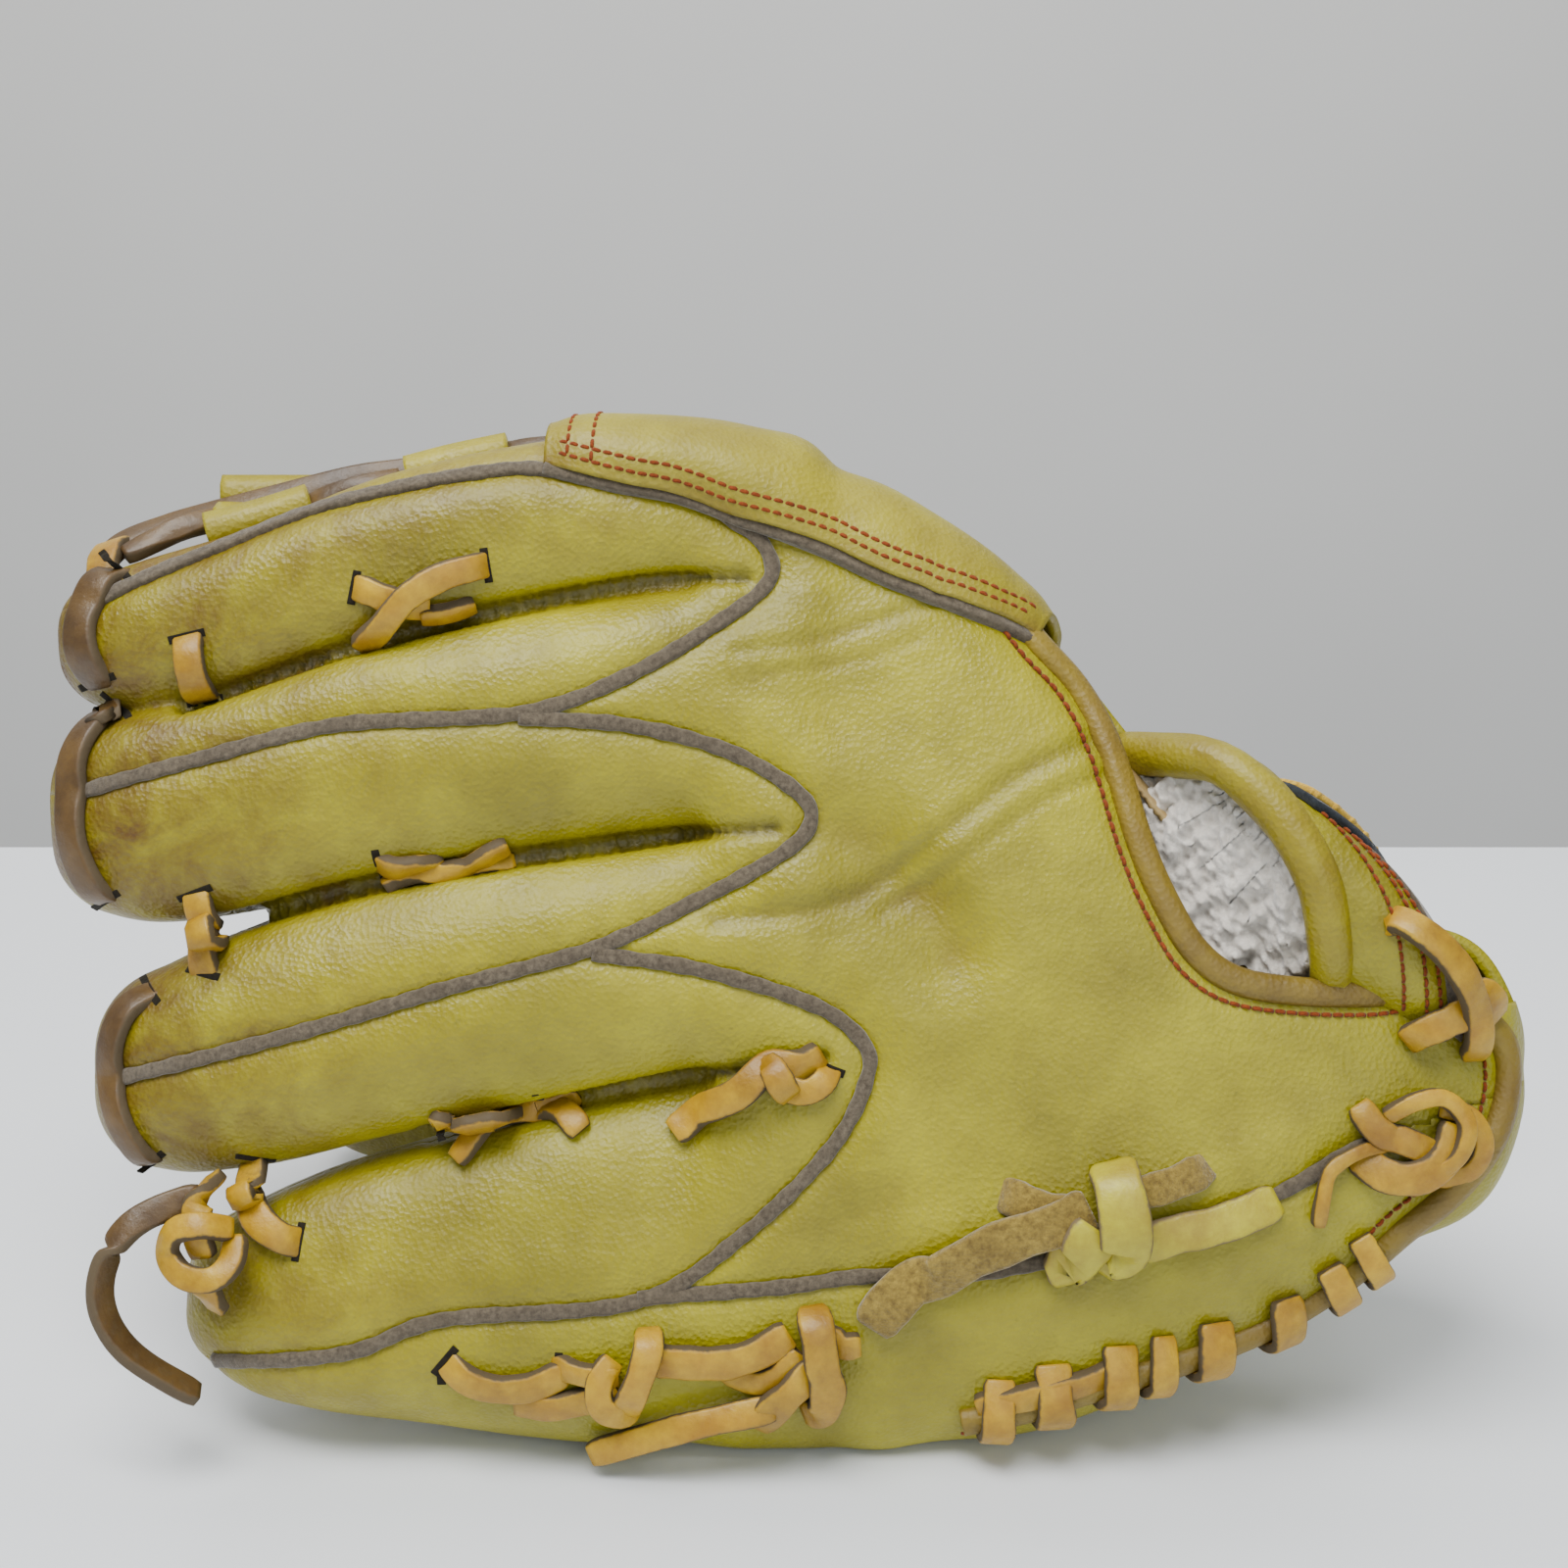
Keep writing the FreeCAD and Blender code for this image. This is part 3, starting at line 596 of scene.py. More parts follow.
# The third colour of each leather() material is real dirt and also painted shade in the hollows.
YELLOW = leather("lime_leather", (174, 166, 8), (130, 122, 2), (88, 58, 6), grain=0.2)
PAD_LEATHER = leather("pad_leather", (174, 164, 16), (134, 122, 6), (98, 68, 12), 0.46, 0.16)
TAN_EDGE = leather("worn_tan_edge", (152, 130, 26), (112, 88, 22), (74, 50, 18), 0.5, 0.16)
TAB_LEATHER = leather("tab_leather", (176, 166, 14), (138, 126, 4), (98, 70, 10), 0.45, 0.16)
LINING = leather("tan_lining", (186, 160, 104), (150, 122, 74), (110, 84, 50), 0.6)
LACE = lace_leather("yellow_lace", (200, 160, 12), (164, 118, 6), (80, 66, 42), (108, 72, 14))
OLD_LACE = lace_leather("brown_lace", (104, 78, 36), (74, 52, 24), (84, 70, 48), (52, 36, 18))
WELT = fibrous("welt_felt", (112, 101, 84), (66, 57, 45))
FLEECE = fibrous("fleece_pile", (236, 231, 222), (196, 188, 177), 700, 0.5, 0.8)
SUEDE = fibrous("suede", (160, 136, 58), (96, 76, 30), 700, 0.4, 0.5)
BLACK_FELT = fibrous("black_felt", (44, 50, 56), (18, 22, 27), 900, 0.2, 0.3)
THREAD = fibrous("brown_thread", (150, 70, 26), (96, 40, 14), 1500, 0.1, 0.1)
TAB_STRAP = lace_leather("tab_strap", (192, 184, 34), (164, 150, 18), (112, 96, 66), (130, 100, 28))
# Painted shade inside the lace slots and the punched eyelets.
PAINTED_SLOT_SHADE = fibrous("painted_slot_shade", (40, 34, 22), (20, 17, 12), 900, 0.2, 0.05)
GOLD_THREAD = fibrous("gold_thread", (214, 178, 70), (160, 122, 34), 1200, 0.15, 0.2)

# ---------------------------------------- camera, light and stage
CAMERA_AIM, CAMERA_AWAY, LENS = (0, 138), 500, 56.25


def make_camera():
    data = bpy.data.cameras.new("photo_camera")
    data.lens, data.sensor_width = LENS, 36
    data.clip_start, data.clip_end = 0.05, 20
    camera = bpy.data.objects.new("photo_camera", data)
    bpy.context.collection.objects.link(camera)
    turn = Matrix(HAND_SIDE.axes.tolist()).transposed().to_4x4()
    camera.matrix_world = Matrix.Translation(HAND_SIDE.world((*CAMERA_AIM, CAMERA_AWAY))) @ turn
    bpy.context.scene.camera = camera


def area_light(name, place, aim, size, power, colour):
    data = bpy.data.lights.new(name, "AREA")
    data.shape, data.size, data.size_y = "RECTANGLE", *size
    data.energy, data.color = power, colour
    lamp = bpy.data.objects.new(name, data)
    bpy.context.collection.objects.link(lamp)
    lamp.location = place
    lamp.rotation_euler = (Vector(aim) - Vector(place)).to_track_quat("-Z", "Y").to_euler()


def stage_plane(name, corners, pale, deep, roughness):
    m = Maker(name, roughness)
    m.colour(m.blend(m.sloped(m.noise(2.5, 3, 0.5), 0.3, 0.7), pale, deep))
    m.bumps((m.noise(900, 2, 0.5), 0.02))
    mesh = bpy.data.meshes.new(name)
    mesh.from_pydata(corners, [], [(0, 1, 2, 3)])
    mesh.materials.append(m.material)
    obj = bpy.data.objects.new(name, mesh)
    bpy.context.collection.objects.link(obj)


def make_stage():
    back, wall = 0.285, 1.6
    stage_plane("table", [(-3, -2, 0), (3, -2, 0), (3, back, 0), (-3, back, 0)], (236, 239, 243),
                (228, 232, 237), 0.3)
    stage_plane("wall", [(-5, wall, -3), (5, wall, -3), (5, wall, 4), (-5, wall, 4)], (240, 238, 234),
                (234, 232, 228), 0.8)
    world = bpy.data.worlds.new("room")
    world.use_nodes = True
    world.node_tree.nodes["Background"].inputs["Color"].default_value = (0.86, 0.93, 1.0, 1)
    world.node_tree.nodes["Background"].inputs["Strength"].default_value = 0.4
    bpy.context.scene.world = world
    area_light("ceiling_lamp", (-0.25, -0.35, 1.3), (0, 0.05, 0.1), (1.0, 0.7), 27, (1.0, 0.985, 0.96))
    area_light("wall_wash", (0, 0.7, 1.7), (0, wall, 0.35), (2.4, 0.6), 17, (1.0, 0.99, 0.97))
    area_light("front_fill", (0.5, -1.4, 0.7), (0, 0, 0.1), (1.4, 1.0), 7, (0.93, 0.97, 1.0))


make_camera()
make_stage()

# ---------------------------------------- the two free lace ends
TAILS = {
    "pinky_tip_tail": [(-120, 53, -4), (-130, 51, -1), (-137.5, 44, 1), (-140, 34, 2), (-136.5, 24.5, 1),
                       (-129, 17.5, -1), (-121, 12, -5)],
    "pinky_side_tail": [(-2, 10, -2), (-15, 7.5, -2), (-28, 3.5, -4), (-40, -1, -8)],
}
LACE_WIDTH, LACE_THICK = 6.0, 2.8

# ---------------------------------------- the hand side's leather
SPLIT = -17.7
CREASES = [([(-10, 165), (8, 168), (31, 176)], 1.3, 0.5), ([(-6, 160), (14, 163), (28, 168)], 1.1, 0.35),
           ([(-14, 110), (14, 115), (32, 128), (48, 140), (63, 147)], 1.8, 0.8),
           ([(20, 112), (34, 121), (52, 134), (66, 140)], 1.3, 0.5),
           ([(-13, 113), (8, 112), (30, 116)], 4.5, 0.9), ([(14, 126), (24, 118), (34, 104)], 7.0, 2.2)]


GROOVES = [[(-8, 180.5), (-30, 179.5), (-80, 169), (-125, 154)],
           [(-2, 129), (-30, 126.3), (-80, 118.4), (-126, 106)], [(8, 82), (-30, 75), (-75, 64.5)]]


def bell(distance, width):
    return np.exp(-(distance / width) ** 2)


def shape_hand(points, normals):
    """Seams pulled in, panels puffed up between them, and the creases of wear, with a mask of painted shade
    along the narrow creases and the grooves between the fingers.
    """
    flat = points[:, :2]
    front = np.clip((points[:, 2] - SPLIT + 4) / 6, 0, 1)
    change, crease, seam = np.zeros(len(points)), np.zeros(len(points)), np.full(len(points), 99.0)
    for line in SEAMS.values():
        seam = np.minimum(seam, nearest_on(smooth_line(line, 2.0), flat))
    change += 0.9 * bell(seam - 8, 6) - 0.9 * bell(seam, 2.2)
    for line, width, depth in CREASES:
        near = nearest_on(smooth_line(line, 2.0), flat)
        change -= depth * bell(near, width) - 0.35 * depth * bell(near - 2.2 * width, width)
        # Narrow creases also get painted shade along them.
        if width < 3:
            crease += depth * 0.5 * bell(near, width * 0.8)
    for line in GROOVES:
        near = nearest_on(smooth_line(line, 2.0), flat)
        change -= 2.6 * bell(near, 1.5)
        # Painted shade along the grooves between the fingers.
        crease += 0.9 * bell(near, 1.3)
    binding = nearest_on(smooth_line(BINDING, 2.0), flat)
    change -= 1.2 * bell(binding, 4.5)
    return points + normals * (change * front)[:, None], np.clip(crease, 0, 1) * front


HANDLED_ALL_OVER = 0.16


def grime_of(points, sunk):
    """Real dirt at the fingertips and along the top edge, and painted shade in the grooves and hollows."""
    tips = np.clip((-52 - points[:, 0]) / 90, 0, 1) ** 1.1
    top = np.clip((points[:, 1] - 178) / 30, 0, 1) * np.clip((20 - points[:, 0]) / 40, 0, 1)
    return np.clip(HANDLED_ALL_OVER + 0.8 * tips + 0.5 * top + 0.5 * np.clip(sunk / 1.3, 0, 1), 0, 1)


def sunken(points, quads, normals):
    """How far each point lies below its wider surroundings."""
    return np.einsum("ij,ij->i", relax(points, quads, 30, 0.6) - points, normals)


PRESSED_MM = 1.3


def rested(side, points):
    """Leather that meets the table is pressed flat on it, and softly rounded beside the flat."""
    places = side.world(points)
    soft = PRESSED_MM / 1000
    over = np.maximum(places[:, 2] - 40 * soft, 0)
    places[:, 2] = soft * np.log1p(np.exp(np.minimum(places[:, 2] / soft, 40))) + over
    return side.local(places)


def make_hand_skin():
    points, quads = polygonise(hand_field, *HAND_SPANS)
    points = relax(points, quads)
    normals = point_normals(points, quads)
    points, crease = shape_hand(points, normals)
    skin = Skin(HAND_SIDE, rested(HAND_SIDE, points), quads)
    skin.crease = crease
    # How far each point is sunk, which puts painted shade into the hollows.
    skin.sunk = sunken(points, quads, skin.normals)
    skin.grime = grime_of(points, skin.sunk)
    return skin


BODIES = {True: "finger_side", False: "thumb_side"}


def panel_of(name, skin, keep, material, nodes, mm=2.2):
    points, faces, used = part_of(skin.points, skin.quads, keep)
    obj = new_object(name, points, faces, skin.side, [material],
                     BODIES[skin.side is HAND_SIDE], flip=skin.side is THUMB_SIDE)
    add_field(obj, "grime", skin.grime[used])
    add_field(obj, "crease", skin.crease[used])
    thicken(obj, mm)
    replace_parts(obj, *nodes)
    return obj


def seam(name):
    return smooth_line(SEAMS[name], 2.0)


def wrist_opening():
    """The outline of the open wrist, from the binding to beyond the glove."""
    return np.vstack([smooth_line(BINDING, 2.0), [(200, 92), (200, 260), (46, 260)]])


def panel_outlines():
    """Closed outlines of the gussets and the outer panel, from the seams that bound them."""
    upper, middle, lower, heel = (seam(n) for n in SEAMS)
    far = -175
    return {
        "index_middle_gusset": np.vstack([[(far, 172)], upper, [(far, 134)]]),
        "middle_ring_gusset": np.vstack([[(far, 134)], upper[-60:][::-1], middle, [(far, 75)]]),
        "ring_pinky_gusset": np.vstack([[(far, 75)], middle[-70:][::-1], seam("ring_pinky_welt"),
                                        [(far, 16)]]),
        "pinky_outer_panel": np.vstack([[(far, 16)], lower[-60:][::-1], heel,
                                        [(175, 82), (175, -60), (far, -60)]]),
        "index_web_side_panel": np.vstack([[(far, 172)], upper[:70], [(-49, 260), (far, 260)]]),
    }


def build_hand_leather(skin):
    middle = skin.points[skin.quads].mean(1)
    flat, front = middle[:, :2], middle[:, 2] > SPLIT
    opening = inside(wrist_opening(), flat)
    taken = ~front
    for name, outline in panel_outlines().items():
        keep = inside(outline, flat) & ~taken & ~opening
        taken |= keep
        material = TAB_LEATHER if name == "index_web_side_panel" else YELLOW
        panel_of(name, skin, keep, material, [name])
    panel_of("hand_back_panel", skin, front & ~taken & ~opening, YELLOW, ["hand_back_panel"])
    panel_of("palm_leather", skin, ~front & ~(opening & (middle[:, 2] > -20)), YELLOW, ["palm_leather"],
             3.0)


WELT_SECTION = rounded(1.55, -2.0, 1.15, 0.7)


def build_welts(skin):
    for name, points in SEAMS.items():
        line, normals = laid(skin, points, 0.35, 0.8)
        wobble = 1 + 0.06 * np.sin(np.arange(len(line)) * 0.9) + 0.05 * np.sin(np.arange(len(line)) * 0.37)
        obj = strip_mesh(name, [(line, normals, WELT_SECTION, np.stack([wobble, wobble ** 0.5], 1))],
                         HAND_SIDE, [WELT], "finger_side")
        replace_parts(obj, name)


HAND = make_hand_skin()
build_hand_leather(HAND)
build_welts(HAND)

# ---------------------------------------- laces
FLAT_LACE = rounded(LACE_WIDTH / 2, -LACE_THICK / 2, LACE_THICK / 2, 0.7, 0.25)
EDGE_SHARE = [1, 0.5, 0, 0, 0.5, 1, 1, 0.6, 0.35, 0.35, 0.6, 1]


def rolled(normals, line, turns):
    """Normals turned about the line by angles in degrees, given as (share of the line, angle) pairs."""
    _, beside, out = frames_along(line, normals)
    share = np.linspace(0, 1, len(line))
    angle = np.radians(np.interp(share, [t[0] for t in turns], [t[1] for t in turns]))[:, None]
    return out * np.cos(angle) + beside * np.sin(angle)


def worn_width(line, seed):
    """Slightly uneven width and thickness along a lace, with softened ends."""
    rng = np.random.default_rng(seed)
    steps = np.interp(np.arange(len(line)), np.linspace(0, len(line), 9), rng.normal(1, 0.045, 9))
    ends = np.minimum(np.arange(len(line)), np.arange(len(line))[::-1])
    steps = steps * np.clip(0.82 + 0.18 * ends / 1.5, 0, 1)
    return np.stack([steps, np.ones(len(line))], 1)


def lace_run(skin, points, width=1.0, seed=0, free=False):
    """One run of lace: (p, q, lift) over the leather, or (p, q, n) in the open if free."""
    line, normals = draped(skin, points, 0.8) if free else laid(skin, points, LACE_THICK / 2, 0.8)
    normals = frames_along(line, normals)[2]
    return line, normals, FLAT_LACE, worn_width(line, seed) * (width, 1)


def lace_piece(name, runs, material, body="finger_side", side=HAND_SIDE, nodes=()):
    obj = strip_mesh(name, runs, side, [material], body)
    count = len(FLAT_LACE)
    edge = []
    for line, _, section, _ in runs:
        edge += (EDGE_SHARE if len(section) == count else [0.5] * len(section)) * len(line) + [1, 1]
    add_field(obj, "edge", edge)
    if nodes:
        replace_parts(obj, *nodes)
    return obj


# Each lace: its material, and runs of (p, q, lift off the leather) points with a share of the full width.
LACES = {
    "index_tip_lace": (OLD_LACE, [
        ([(-138.5, 184, -2), (-142.5, 180, 1.5), (-145.5, 172, 1.6), (-145, 165, 1.6), (-143, 158, -1)],
         1.25),
    ]),
    "middle_tip_lace": (OLD_LACE, [
        ([(-139, 155, -1.5), (-142.5, 151, 1.5), (-146.3, 144, 1.7), (-147, 135, 1.7), (-146, 125, 1.7),
          (-143, 117, 1.3), (-141, 113, -1.5)], 1.15),
    ]),
    "ring_tip_lace": (OLD_LACE, [
        ([(-131, 96, -1.5), (-135.5, 91, 1.5), (-138.5, 84, 1.6), (-138.7, 76, 1.6), (-136.5, 68, 1.5),
          (-133, 61.5, 1.3), (-131, 59, -1.5)], 1.0),
    ]),
    "index_middle_link": (LACE, [([(-123.3, 169, -2.5), (-122.6, 166, 2.0), (-122, 161.5, 3.4),
                                   (-121.5, 157.5, 1.6), (-121, 155, -2.5)], 1.05)]),
    "middle_ring_link": (LACE, [([(-121.6, 116, -2.5), (-120.5, 113, 2.2), (-118.5, 109, 5.0),
                                  (-118.2, 104, 5.0), (-119.5, 101, 2.0), (-120, 98.5, -2.5)], 1.05)]),
    "index_middle_knot": (LACE, [
        ([(-89, 178.5, -2), (-85, 177.6, 1.2), (-79, 175.5, 1.4), (-73, 175, 1.0)], 0.95),
        ([(-60.5, 183, -2), (-64, 182.5, 1.6), (-70, 181, 3.2), (-77, 177.5, 4.6), (-83, 172.5, 4.4),
          (-88.5, 168.5, 2.4)], 0.95),
        ([(-64, 175.5, 0.6), (-69, 174.6, 1.8), (-75, 173.5, 1.6)], 0.7),
    ]),
    "middle_ring_knot": (LACE, [
        ([(-84, 121, -2), (-81, 121.4, 1.0), (-76, 122, 1.4), (-71, 122, 0.2)], 0.95),
        ([(-57, 125.6, 0.5), (-62, 124.4, 2.0), (-69, 121.4, 3.4), (-76, 118, 3.4), (-82.5, 115.6, 1.4)],
         0.8),
        ([(-56, 121.6, 0.4), (-62, 120.6, 1.6), (-68, 119.4, 0.8)], 0.7),
    ]),
    "ring_pinky_knot": (LACE, [
        ([(-72, 67, -2.5), (-68, 68.2, 0.8), (-62, 69.2, 1.2), (-54, 71, 1.0), (-50, 72, -2)], 0.75),
        ([(-43, 73.4, 0.4), (-50, 70.8, 2.6), (-57, 67.4, 4.2), (-62.5, 63.5, 4.0), (-67.5, 59.3, 2.0)],
         0.85),
        ([(-54, 68.6, 0.6), (-49, 68.8, 2.2), (-44.8, 68.2, 2.0), (-41.8, 65.6, 1.2)], 0.95),
    ]),
    "ring_pinky_link": (LACE, [([(-109.6, 61, -3.5), (-110.4, 57, 1.5), (-110.3, 51.5, 4.6),
                                 (-107.6, 46.5, 4.8), (-103, 43.9, 2.6), (-99.6, 43.4, -2.5)], 1.05)]),
    "crotch_lace": (LACE, [
        ([(9.4, 80.5, -2), (8.2, 77.4, 1.0), (4.4, 75.2, 1.6), (-0.6, 76.4, 1.2)], 0.9),
        ([(7.4, 83.6, 0.8), (3, 81.6, 3.2), (-3, 78.6, 4.2), (-10, 74, 3.4), (-17, 69.4, 2.4),
          (-22.6, 65.6, 1.8)], 1.1),
        ([(-4.6, 80.6, 3.0), (-1, 77.6, 5.6), (1.6, 74.6, 3.2)], 1.0),
    ]),
    "pinky_side_lace": (LACE, [
        ([(-70.4, 20.2, -2), (-66, 16.5, 1.0), (-60, 14.4, 1.6), (-52, 14.6, 1.6), (-45, 17.4, 0.6)], 1.0),
        ([(-55.5, 10.2, 0.4), (-48, 10.4, 1.8), (-40, 12.4, 2.4), (-34, 14.2, 2.4)], 0.95),
        ([(-47, 18.6, -1), (-43, 18.4, 2.2), (-38, 17.8, 3.0), (-34, 17.8, 2.4)], 0.8),
        ([(-27, 20.4, 1.4), (-20, 20.4, 2.6), (-12, 20.6, 3.0), (-5, 22.6, 2.6), (1, 26, 1.6)], 1.2),
        ([(-12, 17.6, 0.4), (-6, 15.6, 1.6), (-1, 17.6, 2.4), (3, 22.4, 2.6)], 0.9),
        ([(8.4, 25.4, 1.0), (12, 23.4, 2.2), (15.6, 23.4, 1.6)], 0.9),
    ]),
    "pinky_side_knots": (LACE, [
        ([(-27.6, 26.2, 1.0), (-27.6, 24, 5.0), (-29.4, 19.5, 6.4), (-31.2, 14.5, 5.6), (-32.6, 10.6, 2.6)],
         1.0),
        ([(-35, 20.6, 1.6), (-37.6, 17.4, 4.0), (-37.4, 12.6, 4.6), (-33.6, 9.8, 3.4), (-31, 10.6, 1.4)],
         0.95),
        ([(5.6, 30.6, 0.8), (6.0, 27.4, 5.4), (6.6, 21.5, 6.8), (8.2, 15.5, 6.0), (7.2, 10.4, 4.4),
          (4.2, 9.0, 1.6)], 1.2),
        ([(5.4, 19.6, 3.4), (1.4, 15.4, 5.2), (-2.4, 11.4, 4.8), (-5.4, 6.6, 2.2)], 1.1),
    ]),
    "heel_knot": (LACE, [
        ([(108.6, 48.4, 1.6), (109.4, 53.5, 2.6), (111.6, 59.4, 3.4), (116.5, 62.8, 3.2), (123, 63.6, 1.6)],
         0.5),
        ([(117, 62, 0.6), (122, 58.4, 2.6), (128.5, 58.6, 4.2), (134, 62.4, 4.2), (136.6, 68.4, 3.4)], 1.2),
        ([(117, 72.6, 0.4), (120, 68.4, 2.6), (126, 65.6, 3.8), (132, 62.6, 2.4)], 1.0),
        ([(122, 70.6, 2.4), (127.4, 73.4, 4.2), (133.4, 73.6, 5.2), (137.6, 69, 5.8), (135.6, 62.6, 5.4),
          (129, 58, 2.6)], 0.6),
        ([(134, 71.6, 1.4), (139.6, 70, 3.0), (142.6, 64.6, 2.8), (140.4, 59, 2.0), (134, 57, 0.4)], 0.75),
    ]),
}


def lace_over(skin, name, runs, material, seed, free=False):
    """A lace on the hand side, made of (points, width) runs, that stands for the node of its name."""
    made = [lace_run(skin, points, width=width, seed=seed + k, free=free)
            for k, (points, width) in enumerate(runs)]
    lace_piece(name, made, material, nodes=[name])


def build_laces(skin):
    for number, (name, (material, runs)) in enumerate(LACES.items()):
        lace_over(skin, name, runs, material, 10 * number)


TIP_KNOT = [
    ([(-117.4, 56.5, -7), (-119.6, 52.5, -1), (-119.8, 46.5, 0.6), (-118.6, 41.5, -0.5)], 1.05),
    ([(-113, 47, -1), (-118.5, 48.4, 2.6), (-124.2, 46.9, 1.6), (-125.8, 42, 0.2), (-122.4, 38, 1.6),
      (-116.4, 37.4, 3.2), (-112.6, 40.6, 1.8), (-112.2, 45.4, -1.2)], 0.85),
    ([(-119, 38.6, 1.4), (-117.6, 34.6, 0.8), (-116.6, 30.2, -4.5)], 1.0),
]


SLOT_LENGTH, SLOT_WIDTH = 7.4, 1.7
EYELETS = [(-70.5, 15.5), (-38.4, 104.6), (119, 121)]


def build_lace_slot_shade(skin):
    """Painted shade of the cut that each lace goes into, as a dark strip across the end of its run, and of
    the open punched eyelets, as small dark patches.
    """
    section = rounded(SLOT_WIDTH / 2, -0.3, 0.22, 0.2)
    runs = []
    for _, lace in LACES.values():
        for points, width in lace:
            for end, inner in ((points[0], points[1]), (points[-1], points[-2])):
                if end[2] >= 0:
                    continue
                ahead = np.subtract(inner[:2], end[:2])
                across = np.array([-ahead[1], ahead[0]]) / np.linalg.norm(ahead) * SLOT_LENGTH * width / 2
                middle = np.array(end[:2]) + ahead * 0.18
                line, normals = laid(skin, [middle - across, middle, middle + across], 0.05, 0.6)
                runs.append((line, normals, section, None))
    for p, q in EYELETS:
        line, normals = laid(skin, [(p - 0.9, q), (p, q), (p + 0.9, q)], 0.05, 0.3)
        runs.append((line, normals, rounded(1.3, -0.3, 0.22, 0.2), None))
    strip_mesh("lace_slot_shade", runs, HAND_SIDE, [PAINTED_SLOT_SHADE], "finger_side")


def build_tails(skin):
    """The two free ends: the curled one at the pinky's tip and the short one below the pinky's side."""
    for number, (name, route) in enumerate(TAILS.items()):
        line = cord_line(route)
        normals = facing_along(skin, line)
        turns = ((0, 55), (0.5, 75), (1, 60)) if number == 0 else ((0, 30), (1, 35))
        normals = rolled(normals, line, turns)
        obj = lace_piece(name, [(line, normals, FLAT_LACE, worn_width(line, 90 + number))],
                         OLD_LACE if number == 0 else LACE, nodes=[name])
        places = HAND_SIDE.world(line)


build_laces(HAND)
lace_over(HAND, "pinky_tip_knot", TIP_KNOT, LACE, 560, free=True)
build_lace_slot_shade(HAND)
build_tails(HAND)

# ---------------------------------------- stitching


def stitches(name, line, normals, material, body="finger_side", pitch=2.6, long=1.8, thick=0.34):
    """A row of small raised stitches along a line: each dips into the leather at both ends."""
    runs = []
    step = float(np.linalg.norm(line[1] - line[0]))
    every, span = max(2, round(pitch / step)), max(2, round(long / step))
    section = rounded(thick, -thick, thick, thick * 0.7)
    for start in range(0, len(line) - span, every):
        piece = line[start:start + span + 1]
        arch = np.sin(np.linspace(0, math.pi, span + 1))[:, None] * 0.45 - 0.2
        piece = piece + normals[start:start + span + 1] * arch
        runs.append((piece, normals[start:start + span + 1], section, None))
    strip_mesh(name, runs, HAND_SIDE, [material], body)

# ---------------------------------------- the wrist
STRAP_RIM = [(117, 87, -17), (116, 95, -8), (114, 103, 0), (110.5, 117, 4), (103, 130.5, 2),
             (92.5, 140.5, -4), (81, 142.5, -14), (72, 142.5, -26), (65, 140, -38)]
STRAP_RUN = np.array([0.845, -0.53, -0.16])
STRAP_WIDE = 44


def strap_point(along, across):
    """The strap's surface: a share along its rim, and millimetres across it from the padded edge."""
    rim = smooth_line(STRAP_RIM, 0.5)
    place = rim[np.clip((np.asarray(along) * (len(rim) - 1)).round().astype(int), 0, len(rim) - 1)]
    across = np.asarray(across, float)[..., None]
    share = np.clip(across / STRAP_WIDE, 0, 1)
    swell = 3.0 * np.sin(share * math.pi) * np.array([0.2, 0.35, 1.0])
    tuck = share ** 3 * np.array([-7.0, -1.0, -9.0])
    return place + across * STRAP_RUN + swell + tuck


def grid_quads(rows, cols):
    """The quads between the points of a grid."""
    index = np.arange(rows * cols).reshape(rows, cols)
    return np.stack([index[:-1, :-1], index[1:, :-1], index[1:, 1:], index[:-1, 1:]], -1).reshape(-1, 4)


def surface_grid(name, points, side, materials, body):
    """A mesh over a 2-D grid of points."""
    return new_object(name, points.reshape(-1, 3), grid_quads(*points.shape[:2]), side, materials, body)


def grid_normals(points):
    normals = np.cross(np.gradient(points, axis=0), np.gradient(points, axis=1))
    return normals / np.maximum(np.linalg.norm(normals, axis=-1), 1e-9)[..., None]


def build_strap():
    along, across = np.linspace(0, 1, 110), np.linspace(0, STRAP_WIDE, 50)
    face = strap_point(*np.meshgrid(along, across, indexing="ij"))
    obj = surface_grid("wrist_strap", face, HAND_SIDE, [YELLOW], "finger_side")
    thicken(obj, 3.0, 0.0)
    near = np.minimum(along, 1 - along)[:, None] + 0 * across
    add_field(obj, "grime", (0.25 + 0.35 * bell(near, 0.08)).ravel())
    add_field(obj, "crease", np.zeros(face.shape[:2]).ravel())
    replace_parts(obj, "wrist_strap")
    rim = strap_point(along, -3.0 + 0 * along)
    out = grid_normals(face)[:, 2]
    round_section = rounded(4.6, -4.4, 4.4, 3.6)
    roll = strip_mesh("strap_edge_roll", [(rim, out, round_section, None)], HAND_SIDE, [PAD_LEATHER],
                      "finger_side")
    soil(roll, 0.45)
    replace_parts(roll, "strap_edge_roll")


FLEECE_LINES = [
    [(112, 96, -9), (100, 98, -12), (86, 104, -13), (75, 118, -14), (69, 134, -18), (66, 146, -26)],
    [(112, 100, -4), (103, 105, -7), (92, 113, -9), (84, 125, -10), (78, 137, -14), (72, 146, -24)],
    [(111, 106, -1), (107, 112, -2), (100, 121, -4), (93, 131, -6), (86, 139, -11), (78, 145, -20)],
    [(112, 112, 0), (110, 117, 1), (104, 127, 0), (96, 136, -5), (88, 141, -11), (82, 144, -19)],
]


